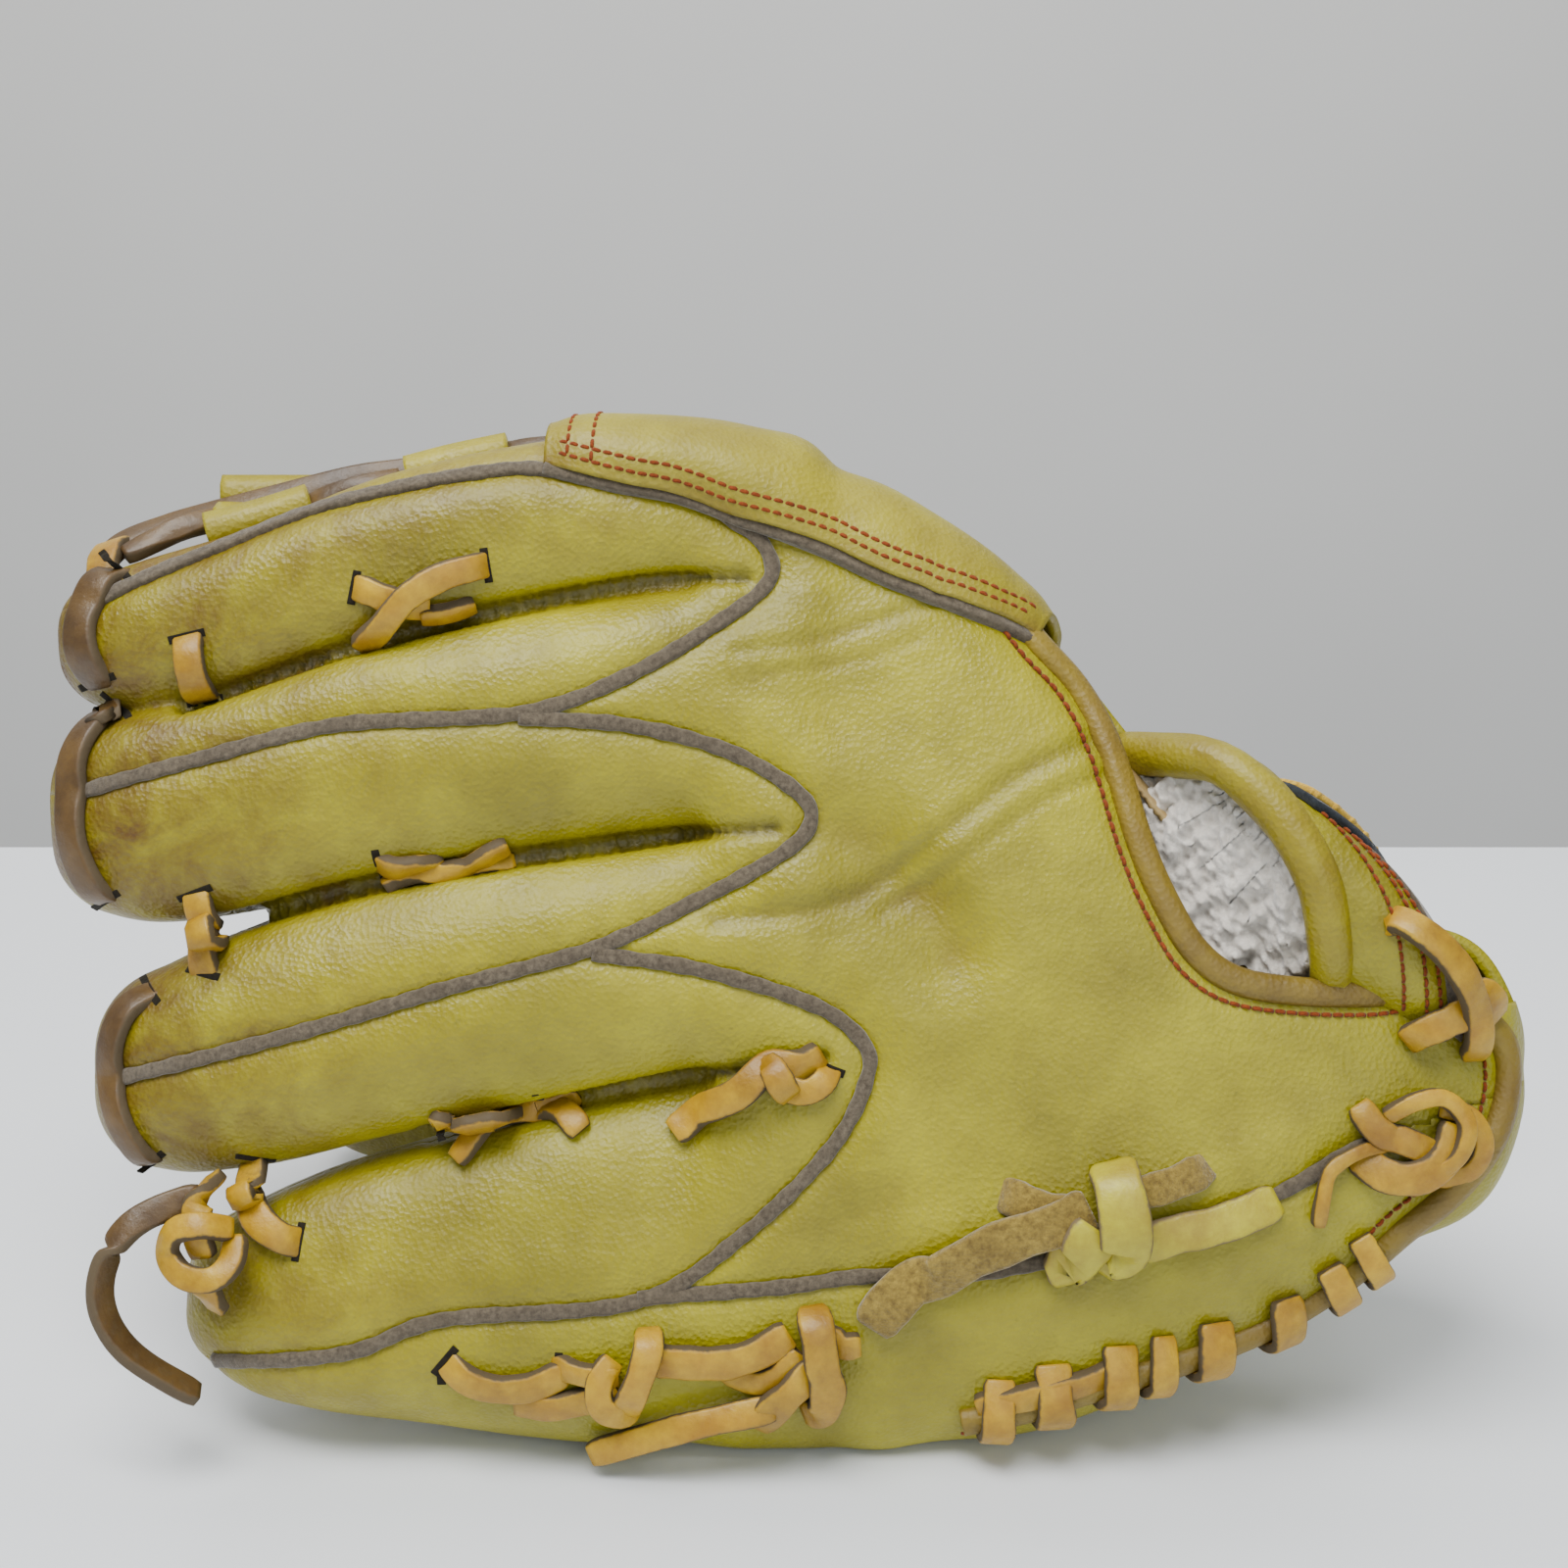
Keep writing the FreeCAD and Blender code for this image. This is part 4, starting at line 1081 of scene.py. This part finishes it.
def pile(points, seed, height):
    """A fleece surface: tufts from layered random waves."""
    rng = np.random.default_rng(seed)
    total = np.zeros(points.shape[:2])
    for size, share in ((12.0, 0.7), (6.0, 0.7), (3.2, 0.6), (1.9, 0.35)):
        for _ in range(7):
            wave = rng.normal(0, 1, 3)
            wave *= 2 * math.pi / size / np.linalg.norm(wave)
            total += share * np.sin(points @ wave + rng.uniform(0, 6.3)) / 7 ** 0.5
    return points + grid_normals(points) * (height * total)[..., None]


def even_points(points, step, count):
    """A given count of points, evenly spread, of the smooth line through the ones given."""
    line = smooth_line(points, step)
    return line[np.linspace(0, len(line) - 1, count).astype(int)]


def build_fleece():
    lines = np.array([even_points(line, 0.5, 150) for line in FLEECE_LINES])
    rows = np.stack([even_points(lines[:, k], 0.1, 90) for k in range(lines.shape[1])], axis=1)
    obj = surface_grid("strap_fleece", pile(rows, 4, 1.1), HAND_SIDE, [FLEECE], "finger_side")
    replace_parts(obj, "strap_fleece")


def patch_grid(along, across, lift):
    """A grid over the strap between shares along it and millimetres across it, lifted off it."""
    a, c = np.meshgrid(np.linspace(*along, 40), np.linspace(*across, 60), indexing="ij")
    points = strap_point(a, c)
    normals = grid_normals(strap_point(a, c))
    if normals[..., 2].mean() + normals[..., 1].mean() < 0:
        normals = -normals
    return points + normals * lift, normals


def build_patch():
    """A plain embroidered patch: black felt with gold bars, and no lettering."""
    felt, _ = patch_grid((0.56, 0.86), (12, 50), 2.6)
    obj = surface_grid("label_patch", felt, HAND_SIDE, [BLACK_FELT], "finger_side")
    thicken(obj, 1.8, 0.0)
    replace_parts(obj, "label_patch")
    rows, normals = patch_grid((0.585, 0.835), (14, 38), 4.1)
    border = [(rows[2, :], normals[2, :]), (rows[-3, :], normals[-3, :])]
    border += [(rows[:, k], normals[:, k]) for k in (3, 15, 27, 39, 51)]
    runs = [(line, out, rounded(1.3, -0.8, 0.8, 0.6), None) for line, out in border]
    strip_mesh("patch_embroidery", runs, HAND_SIDE, [GOLD_THREAD], "finger_side")


def build_stitch_band():
    """The grey felt band across the strap, with its rows of red-brown stitching."""
    rows, _ = patch_grid((0.19, 0.62), (27, 31.5), 1.9)
    obj = surface_grid("strap_stitch_band", rows, HAND_SIDE, [WELT], "finger_side")
    thicken(obj, 0.9, 0.0)
    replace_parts(obj, "strap_stitch_band")
    for number, across in enumerate((14.5, 20.5, 24.5, 34.0)):
        face, normals = patch_grid((0.17, 0.6), (across, across + 1), 1.75)
        line = smooth_line(face[::3, 0], 0.6)
        facing = np.repeat(normals[::3, 0].mean(0)[None], len(line), 0)
        stitches(f"strap_stitches_{number}", line, facing, THREAD)


BINDING_INSET = [(3.2, 2.6), (3.4, 2.6), (4.2, 1.6), (4.4, 1.2), (4.4, 1.6), (4.2, 2.4), (3.6, 3.6),
                 (2.4, 4.2), (0.6, 4.4), (0, 4.4), (0, 4.4), (0, 4.0)]


def build_binding(skin):
    line, normals = laid(skin, BINDING, 0.4, 0.8)
    section = rounded(3.0, -2.6, 2.2, 2.0)
    roll = strip_mesh("wrist_binding", [(line, normals, section, None)], HAND_SIDE, [TAN_EDGE],
                      "finger_side")
    share = np.repeat(np.linspace(0, 1, len(line)), len(section))
    add_field(roll, "grime", np.append(0.15 + 0.5 * bell(share - 0.75, 0.3), [0.3, 0.3]))
    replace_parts(roll, "wrist_binding")
    inset = [(p - dp, q - dq) for (p, q), (dp, dq) in zip(BINDING, BINDING_INSET)]
    row, out = laid(skin, inset, 0.25, 0.6)
    stitches("binding_stitches", row, out, THREAD, pitch=2.4, long=1.8, thick=0.42)


HEEL_EDGE = [(37, 5.5), (50, 8.5), (64.6, 13.2), (89.6, 20.5), (107.2, 28), (119.7, 37.5), (128, 45.5),
             (137, 53), (145, 63), (149, 73), (149, 83), (144, 90)]
WHIP_TURNS = [(44, 1.2), (56, 1.35), (69, 1.3), (77, 1.0), (88, 1.35), (103, 1.3), (115, 1.1), (121.5, 1.0)]


HEEL_INSET = [(-2.6, 4.2), (-3.4, 4), (-4.2, 3), (-4.8, 1.6), (-5, 0), (-5, -1), (-4, -3)]


def build_heel_edge(skin):
    """The rolled edge round the heel, and the lace that whips over it."""
    line, normals = laid(skin, HEEL_EDGE, 0.6, 0.8)
    section = rounded(3.0, -2.8, 2.4, 2.2)
    roll = strip_mesh("heel_edge_roll", [(line, normals, section, None)], HAND_SIDE, [TAN_EDGE],
                      "finger_side")
    soil(roll, 0.2)
    runs = []
    for number, (p, wide) in enumerate(WHIP_TURNS):
        at = int(np.abs(line[:, 0] - p).argmin())
        ahead, beside, out = frames_along(line, normals)
        a, b, o, c = ahead[at], beside[at], out[at], line[at]
        turn = [c + b * s + o * l + a * k for s, l, k in
                ((-8.2, -1.6, 2.6), (-5.8, 1.2, 1.8), (-3.0, 3.6, 0.8), (0.5, 4.4, 0), (3.6, 2.8, -1.2),
                 (5.4, -0.8, -2.0), (6.0, -4.4, -2.6))]
        wrap = smooth_line(turn, 0.7)
        facing = wrap - (c - o * 2.0)
        facing /= np.linalg.norm(facing, axis=1)[:, None]
        runs.append((wrap, facing, FLAT_LACE, worn_width(wrap, 200 + number) * (wide * 0.95, 0.85)))
    between = [(40, 9.5, 0.8), (47, 11.6, 2.2), (54, 13.4, 2.4), (62, 15.2, 1.8), (70, 18.0, 1.0)]
    runs.append(lace_run(skin, between, width=0.95, seed=230))
    lace_piece("heel_lace", runs, LACE, nodes=["heel_lace"])
    inset = [(p + dp, q + dq) for (p, q), (dp, dq) in zip(HEEL_EDGE[5:], HEEL_INSET)]
    row, out = laid(skin, inset, 0.25, 0.6)
    stitches("heel_stitches", row, out, THREAD, pitch=2.6, long=1.9)
    tip, out = laid(skin, [(37, 3.2), (41, 5.6), (46, 8.4)], 1.2, 0.6)
    stitches("heel_tip_stitches", tip, out, THREAD)


def build_wrist_lace(skin):
    """The lace that comes out of the strap, over the binding, and back into the heel."""
    runs = [([(122, 109.5, 3.5), (123.5, 110.8, 6.5), (127, 109, 9.2), (132, 105, 9.6), (137, 99, 7.6),
              (140.6, 92, 3.6), (141.8, 85.5, 0.6), (141.4, 82, -3)], 1.05),
            ([(127.6, 85.4, -1.6), (130, 87.2, 1.0), (135, 89.6, 2.2), (139.6, 91.8, 1.6)], 1.1),
            ([(139, 93.4, 2.4), (141.4, 95.8, 2.2), (144.2, 94.2, 0.8), (146, 90.6, -2.4)], 1.05)]
    lace_over(skin, "wrist_lace", runs, LACE, 300, free=True)


def build_loop_strap(skin):
    """The suede strap through the two slots by the pinky, with the lace knotted over it."""
    suede = [([(86.5, 60.6, -2), (84, 59, 0.6), (78, 56.6, 1.8), (72, 55, 2.4)], 1.15),
             ([(44, 54.4, -2), (47, 53.6, 1.0), (53, 51.6, 2.4), (60, 50.6, 3.0)], 1.25),
             ([(62, 52, 3.2), (55, 49, 4.2), (46, 46.2, 4.4), (37, 42.4, 4.2), (28, 37, 3.6),
               (21.5, 31.6, 2.6), (18.2, 27.2, 1.6)], 1.6)]
    lace_over(skin, "pinky_loop_strap", suede, SUEDE, 400)
    knot = [([(66.6, 60.6, 1.2), (67.4, 57.4, 6.4), (68.4, 51.5, 8.2), (68.2, 46, 7.2), (65.4, 41.8, 4.6),
              (63.8, 39.6, 2.4)], 1.75),
            ([(72, 46.4, 5.2), (79, 46.6, 4.2), (87, 47.6, 3.4), (95, 50.4, 2.2), (100.5, 53, 0.8)], 1.3),
            ([(63.4, 49, 5.4), (60.4, 45.4, 5.8), (58, 41.4, 4.6), (59, 37, 2.2)], 1.7)]
    lace_over(skin, "pinky_loop_knot", knot, TAB_STRAP, 420)


build_strap()
build_fleece()
build_patch()
build_stitch_band()
build_binding(HAND)
build_heel_edge(HAND)
build_wrist_lace(HAND)
build_loop_strap(HAND)

# ---------------------------------------- the padded guard over the index finger
PAD_LOWER = [(-49.2, 203.4), (-34.6, 199.6), (-23, 198), (-11.4, 194.2), (-1.8, 190.8), (9.8, 186),
             (21.4, 180.6), (35, 175.4), (44.6, 171.4), (52, 168)]


def top_edge(skin, p):
    """How far up a skin reaches at p."""
    near = np.abs(skin.points[:, 0] - p) < CELL
    return skin.points[near][:, 1].max()


def round_the_edge(skin, p, angle, axis):
    """The point of a skin met on the way in to an axis inside it, at an angle up from the side's width."""
    aim = Vector((0, math.cos(angle), math.sin(angle)))
    start = Vector((p, *axis)) + aim * 60
    hit = skin.tree.ray_cast(start, -aim)[0]
    if hit is None:
        hit = skin.tree.find_nearest(Vector((p, *axis)) + aim * 18)[0]
    return np.array(hit)


def pad_surface(skin, rows=130, cols=44, far_angle=-38):
    lower = even_points(PAD_LOWER, 0.2, rows)
    points = np.empty((rows, cols, 3))
    for i, (p, q) in enumerate(lower):
        share = i / (rows - 1)
        for j in range(cols):
            v = j / (cols - 1)
            here = p + v * (3.0 + 3.5 * share)
            top = top_edge(skin, here)
            axis = (top - 19, -21)
            begin = math.atan2(skin.height(p, q) - axis[1], q - axis[0])
            angle = begin + (math.radians(far_angle) - begin) * v
            points[i, j] = round_the_edge(skin, here, angle, axis)
    return blurred(points, 4)


def blurred(grid, rounds):
    for _ in range(rounds):
        grid[1:-1] = (grid[:-2] + 2 * grid[1:-1] + grid[2:]) / 4
        grid[:, 1:-1] = (grid[:, :-2] + 2 * grid[:, 1:-1] + grid[:, 2:]) / 4
    return grid


def row_inside(points, distance):
    """The line over a grid that stays a distance inside its first column's edge."""
    line = []
    for row in points:
        far = np.concatenate([[0], np.cumsum(np.linalg.norm(np.diff(row, axis=0), axis=1))])
        line.append([np.interp(distance, far, row[:, k]) for k in range(3)])
    return np.array(line)


def pad_stitches(skin, name, line):
    out = np.array([skin.normal(point) for point in line])
    stitches(name, line + out, out, THREAD, body="index_pad", pitch=2.7, long=2.1, thick=0.4)


def build_pad(skin):
    base = pad_surface(skin)
    normals = grid_normals(base)
    normals *= np.sign(np.einsum("ijk,k->ij", normals, [0, 0.6, 0.8]))[..., None]
    across, along = np.linspace(0, 1, base.shape[1])[None], np.linspace(0, 1, base.shape[0])[:, None]
    swell = (2.6 - 1.6 * bell(across, 0.13) - 1.2 * bell(1 - across, 0.1)
             - 1.3 * bell(along, 0.04) - 1.0 * bell(1 - along, 0.03))
    swell += 0.25 * np.sin(along * 17 + across * 5) * np.sin(along * 6)
    face = base + normals * (1.2 + swell)[..., None]
    pad = surface_grid("finger_pad", face, HAND_SIDE, [PAD_LEATHER], "index_pad")
    thicken(pad, 2.4, 0.0)
    # Darker towards the pad's edges and ends.
    edge_darkening = 0.18 + 0.35 * bell(across, 0.1) + 0.3 * bell(1 - along, 0.08) + 0.3 * bell(along, 0.06)
    add_field(pad, "grime", edge_darkening.ravel())
    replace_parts(pad, "finger_pad")
    edge = smooth_line(base[:, 0], 0.8)
    out = np.array([skin.normal(point) for point in edge])
    strip_mesh("finger_pad_edge", [(edge - np.array([0, 0.9, 0]), out, rounded(1.3, -0.6, 2.7, 0.8), None)],
                      HAND_SIDE, [WELT], "index_pad")
    for number, distance in enumerate((2.6, 5.0)):
        line = smooth_line(row_inside(face, distance)[4:-4], 0.6)
        pad_stitches(skin, f"finger_pad_stitches_{number}", line)
    for number, row in enumerate((6, 12)):
        line = smooth_line(face[row, 3:22], 0.6)
        pad_stitches(skin, f"finger_pad_end_stitches_{number}", line)

# ---------------------------------------- what shows of the web above the index finger
ROLLS = [[(-122, 191.2, -19), (-111, 194.2, -20), (-100.5, 197.6, -21)],
         [(-80, 203.6, -22), (-70, 206.2, -22), (-58.5, 208.6, -22)],
         [(-30.5, 210.2, -22), (-25, 210.8, -22), (-18, 211, -22)]]
WEB_EDGE_LACES = [
    ([(-146.5, 184.5, -23), (-141.5, 190, -26), (-133, 193.6, -28), (-125, 196, -29), (-110, 199.6, -29),
      (-94, 203.4, -29), (-80, 205.6, -29), (-58, 209.4, -29), (-40, 210.8, -29), (-28, 211, -29)], 1.0),
    ([(-139.5, 186.4, -18), (-134, 189.6, -20), (-127, 193, -22), (-119, 195.6, -26)], 0.8),
    ([(-103, 196.6, -25), (-98, 199.2, -23), (-90, 201.4, -22), (-82, 203.6, -24)], 0.8),
    ([(-62, 208, -25), (-56, 209.4, -22), (-44, 210, -22), (-33, 210.4, -24)], 0.75),
]
TIP_LOOP = [(-142.4, 189.5, -30), (-143.6, 188.6, -22), (-143.6, 184.6, -16.5), (-142.6, 180.6, -14),
            (-141.2, 177.6, -17)]


def build_web_edge(skin):
    runs = []
    for line in ROLLS:
        centre = smooth_line(line, 0.8)
        facing = np.repeat([[0, 0.5, 0.86]], len(centre), 0)
        runs.append((centre, facing, rounded(4.2, -4.2, 4.2, 3.7), None))
    rolls = strip_mesh("web_tab_rolls", runs, HAND_SIDE, [TAB_LEATHER], "finger_side")
    soil(rolls, 0.25)
    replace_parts(rolls, "web_tab_rolls")
    made = []
    for number, (points, width) in enumerate(WEB_EDGE_LACES):
        line = smooth_line(points, 0.8)
        facing = rolled(np.repeat([[0, 0.6, 0.8]], len(line), 0), line, ((0, -20), (0.5, 25), (1, 0)))
        made.append((line, facing, FLAT_LACE, worn_width(line, 500 + number) * (width, 1.1)))
    lace_piece("web_edge_laces", made, OLD_LACE)
    line, normals = draped(skin, TIP_LOOP, 0.8)
    lace_piece("index_tip_loop", [(line, normals, FLAT_LACE, worn_width(line, 520) * (1.2, 1))], LACE)


build_pad(HAND)
build_web_edge(HAND)

# ---------------------------------------- the thumb side
THUMB_SPLIT = 6.7
THUMB_SEAM = [(-119, -181.5), (-60, -180), (10, -172), (70, -158), (110, -152), (142, -148)]


def make_thumb_skin():
    points, quads = polygonise(thumb_field, *THUMB_SPANS)
    points = relax(points, quads)
    normals = point_normals(points, quads)
    near = nearest_on(smooth_line(THUMB_SEAM, 2.0), points[:, :2])
    outside = np.clip((points[:, 2] - THUMB_SPLIT + 3) / 6, 0, 1)
    points = points + normals * ((0.8 * bell(near - 8, 6) - 0.9 * bell(near, 2.2)) * outside)[:, None]
    points = rested(THUMB_SIDE, points)
    skin = Skin(THUMB_SIDE, points, quads)
    skin.crease = np.zeros(len(points))
    skin.sunk = sunken(points, quads, skin.normals)
    # Real dirt towards the thumb's tip, and painted shade in the hollows where the skin is sunk.
    tips = np.clip((-60 - points[:, 0]) / 60, 0, 1)
    skin.grime = np.clip(0.2 + 0.5 * tips + 0.3 * np.clip(skin.sunk, 0, 1), 0, 1)
    return skin


def build_thumb_leather(skin):
    middle = skin.points[skin.quads].mean(1)
    outside = middle[:, 2] > THUMB_SPLIT
    below = inside(np.vstack([[(-200, -182)], smooth_line(THUMB_SEAM, 2.0),
                              [(200, -145), (200, -300), (-200, -300)]]),
                   middle[:, :2])
    panel_of("thumb_back_panel", skin, outside & ~below, YELLOW, ["thumb_back_panel"])
    panel_of("thumb_outer_panel", skin, outside & below, YELLOW, ["thumb_outer_panel"])
    panel_of("thumb_palm_leather", skin, ~outside, YELLOW, ["thumb_palm_leather"], 3.0)
    line, normals = laid(skin, THUMB_SEAM, 0.35, 0.8)
    welt = strip_mesh("thumb_welt", [(line, normals, WELT_SECTION, None)], THUMB_SIDE, [WELT],
                      "thumb_side")
    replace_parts(welt, "thumb_welt")


THUMB_LACES = {
    "thumb_tip_lace": (OLD_LACE, [([(-104, -156, 0), (-114, -164, 1.4), (-118, -174, 1.6),
                                    (-117, -186, 1.4), (-108, -196, 0)], 1.1)]),
    "thumb_back_lace": (LACE, [
        ([(-88, -160, -1), (-80, -158, 1.8), (-70, -159, 2.6), (-62, -163, -1)], 1.0),
        ([(-84, -167, 0), (-76, -161, 3.4), (-68, -153, 2.4)], 1.0),
        ([(-30, -140, -1), (-20, -136, 1.8), (-8, -134, 2.6), (2, -137, -1)], 1.0),
    ]),
    "thumb_heel_lace": (LACE, [
        ([(92, -176, -1), (97, -168, 2.4), (99, -160, 2.4), (98, -152, -1)], 1.1),
        ([(112, -168, -1), (116, -161, 2.4), (117, -153, 2.4), (115, -146, -1)], 1.1),
        ([(66, -182, -1), (72, -175, 2.4), (75, -167, 2.4), (75, -160, -1)], 1.1),
    ]),
}


def build_thumb_laces(skin):
    for number, (name, (material, runs)) in enumerate(THUMB_LACES.items()):
        made = [lace_run(skin, points, width=width, seed=600 + 10 * number + k)
                for k, (points, width) in enumerate(runs)]
        lace_piece(name, made, material, "thumb_side", THUMB_SIDE)

# ---------------------------------------- linings, padding and the leather at the fold


def build_lining(name, side, field, spans, keep, body, nodes, depth):
    """Soft lining that follows the inside of a skin at a depth below it."""
    points, quads = polygonise(field, *spans, level=-depth)
    points = relax(points, quads)
    middle = points[quads].mean(1)
    kept, faces, _ = part_of(points, quads, keep(middle))
    obj = new_object(name, kept, faces, side, [LINING], body, flip=side is THUMB_SIDE)
    thicken(obj, 1.2)
    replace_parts(obj, *nodes)


LINING_DEPTH, PADDING_DEPTH = 5.4, 3.4


def open_wrist(level):
    """Tells which faces stay when the wrist is open above a depth."""
    outline = wrist_opening()
    return lambda middle: ~(inside(outline, middle[:, :2]) & (middle[:, 2] > level)) & (middle[:, 0] < 142)


def build_linings():
    stalls = [f"{finger}_stall_lining" for finger in FINGERS]
    build_lining("hand_lining", HAND_SIDE, hand_field, HAND_SPANS, open_wrist(-12), "finger_side",
                 stalls + ["hand_back_lining", "palm_lining"], LINING_DEPTH)
    build_lining("palm_padding", HAND_SIDE, hand_field, HAND_SPANS,
                 lambda middle: (middle[:, 2] < -22) & (middle[:, 0] > -14) & (middle[:,
                                                                                      0] < 132),
                                                                                      "finger_side",
                 ["palm_padding"], PADDING_DEPTH)
    build_lining("thumb_lining", THUMB_SIDE, thumb_field, THUMB_SPANS, lambda middle: middle[:, 0] < 138,
                 "thumb_side", ["thumb_stall_lining"], LINING_DEPTH)
    build_lining("thumb_palm_padding", THUMB_SIDE, thumb_field, THUMB_SPANS,
                 lambda middle: (middle[:, 2] < 6) & (middle[:, 0] > -14) & (middle[:,
                                                                                    0] < 128), "thumb_side",
                 ["thumb_palm_padding"], PADDING_DEPTH)


def across_the_fold(p, q, n, r, k):
    """A line in metres from a point of the hand side, up over the fold, to a point of the thumb side."""
    start, end = HAND_SIDE.world((p, q, n)), THUMB_SIDE.world((p, r, k))
    start_in, end_in = HAND_SIDE.world((p, q - 14, n - 1)), THUMB_SIDE.world((p, r - 14, k - 1))
    rise = np.array([0, 0, 0.014])
    middle = (start + end) / 2 + rise
    return even_points(np.array([start_in, start, middle, end, end_in]), 0.001, 44)


def bent(name, grid, material, start, end, mm=2.6):
    """A sheet of leather between the two sides, across the fold."""
    quads = grid_quads(*grid.shape[:2])
    mesh = bpy.data.meshes.new(name)
    mesh.from_pydata(grid.reshape(-1, 3).tolist(), [], quads.tolist())
    mesh.materials.append(material)
    mesh.shade_smooth()
    obj = bpy.data.objects.new(name, mesh)
    bpy.context.collection.objects.link(obj)
    soil(obj, 0.3)
    thicken(obj, mm, 0.0)
    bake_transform(obj)
    return obj


WEB_BARS = [(-111, -156), (-69, -143), (-27, -127)]


def build_fold(hand):
    """The palm leather over the fold, and the three web bars from the index finger down to the thumb."""
    start, end = HAND_SIDE.world((0, 170, -44)), THUMB_SIDE.world((0, -30, 4))
    rows = []
    for p in np.linspace(-22, 62, 60):
        top = top_edge(hand, p)
        low = np.interp(p, [-22, 35, 62], [-60, -46, -72])
        rows.append(across_the_fold(p, top - 20, -40, low, 6))
    bent("palm_fold", np.array(rows), YELLOW, start, end)
    for number, ((p, low), roll) in enumerate(zip(WEB_BARS, ROLLS)):
        rows = []
        for across in np.linspace(-11, 11, 16):
            q, n = np.array(roll)[:, 1:].mean(0)
            begin = HAND_SIDE.world((p + across, q + 1.5, n - 4))
            top = THUMB_SIDE.world((p + across, -22, 3.5))
            bottom = THUMB_SIDE.world((p + across, low, 3.5))
            bow = (begin + top) / 2 + (0, 0, 0.003)
            rows.append(even_points(np.array([begin, bow, top, bottom]), 0.001, 90))
        bar = bent(f"web_bar_{number}", np.array(rows), TAB_LEATHER, HAND_SIDE.world((p, 195, -24)),
                   THUMB_SIDE.world((p, -20, 3.5)))
        if number == 0:
            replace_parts(bar, "web_cross_bars")


def build_web_laces():
    """The two-strand spine woven through the bars, and the lace that ties the bars to the thumb."""
    runs = []
    p = np.linspace(-128, -12, 90)
    for number, (r, phase) in enumerate(((-83, 0), (-90, math.pi))):
        weave = 4.2 * np.cos((p + 111) / 42 * 2 * math.pi + phase)
        line = smooth_line(np.stack([p, r + 0 * p, 3.5 + weave], 1), 0.9)
        out = np.repeat([[0, 0.1, 1.0]], len(line), 0)
        runs.append((line, out, FLAT_LACE, worn_width(line, 700 + number)))
    lace_piece("web_spine", runs, OLD_LACE, "thumb_side", THUMB_SIDE, ["web_spine"])
    runs = []
    p = np.linspace(-124, -38, 80)
    line = smooth_line(np.stack([p, -122 + 3.0 * np.sin(p / 6.7),
                                 3.5 + 4.0 * np.cos((p + 111) / 21 * math.pi)], 1), 0.9)
    runs.append((line, np.repeat([[0, 0.1, 1.0]], len(line), 0), FLAT_LACE, worn_width(line, 710)))
    lace_piece("web_thumb_lace", runs, OLD_LACE, "thumb_side", THUMB_SIDE, ["web_thumb_lace"])


THUMB = make_thumb_skin()
build_thumb_leather(THUMB)
build_thumb_laces(THUMB)
build_linings()
build_fold(HAND)
build_web_laces()
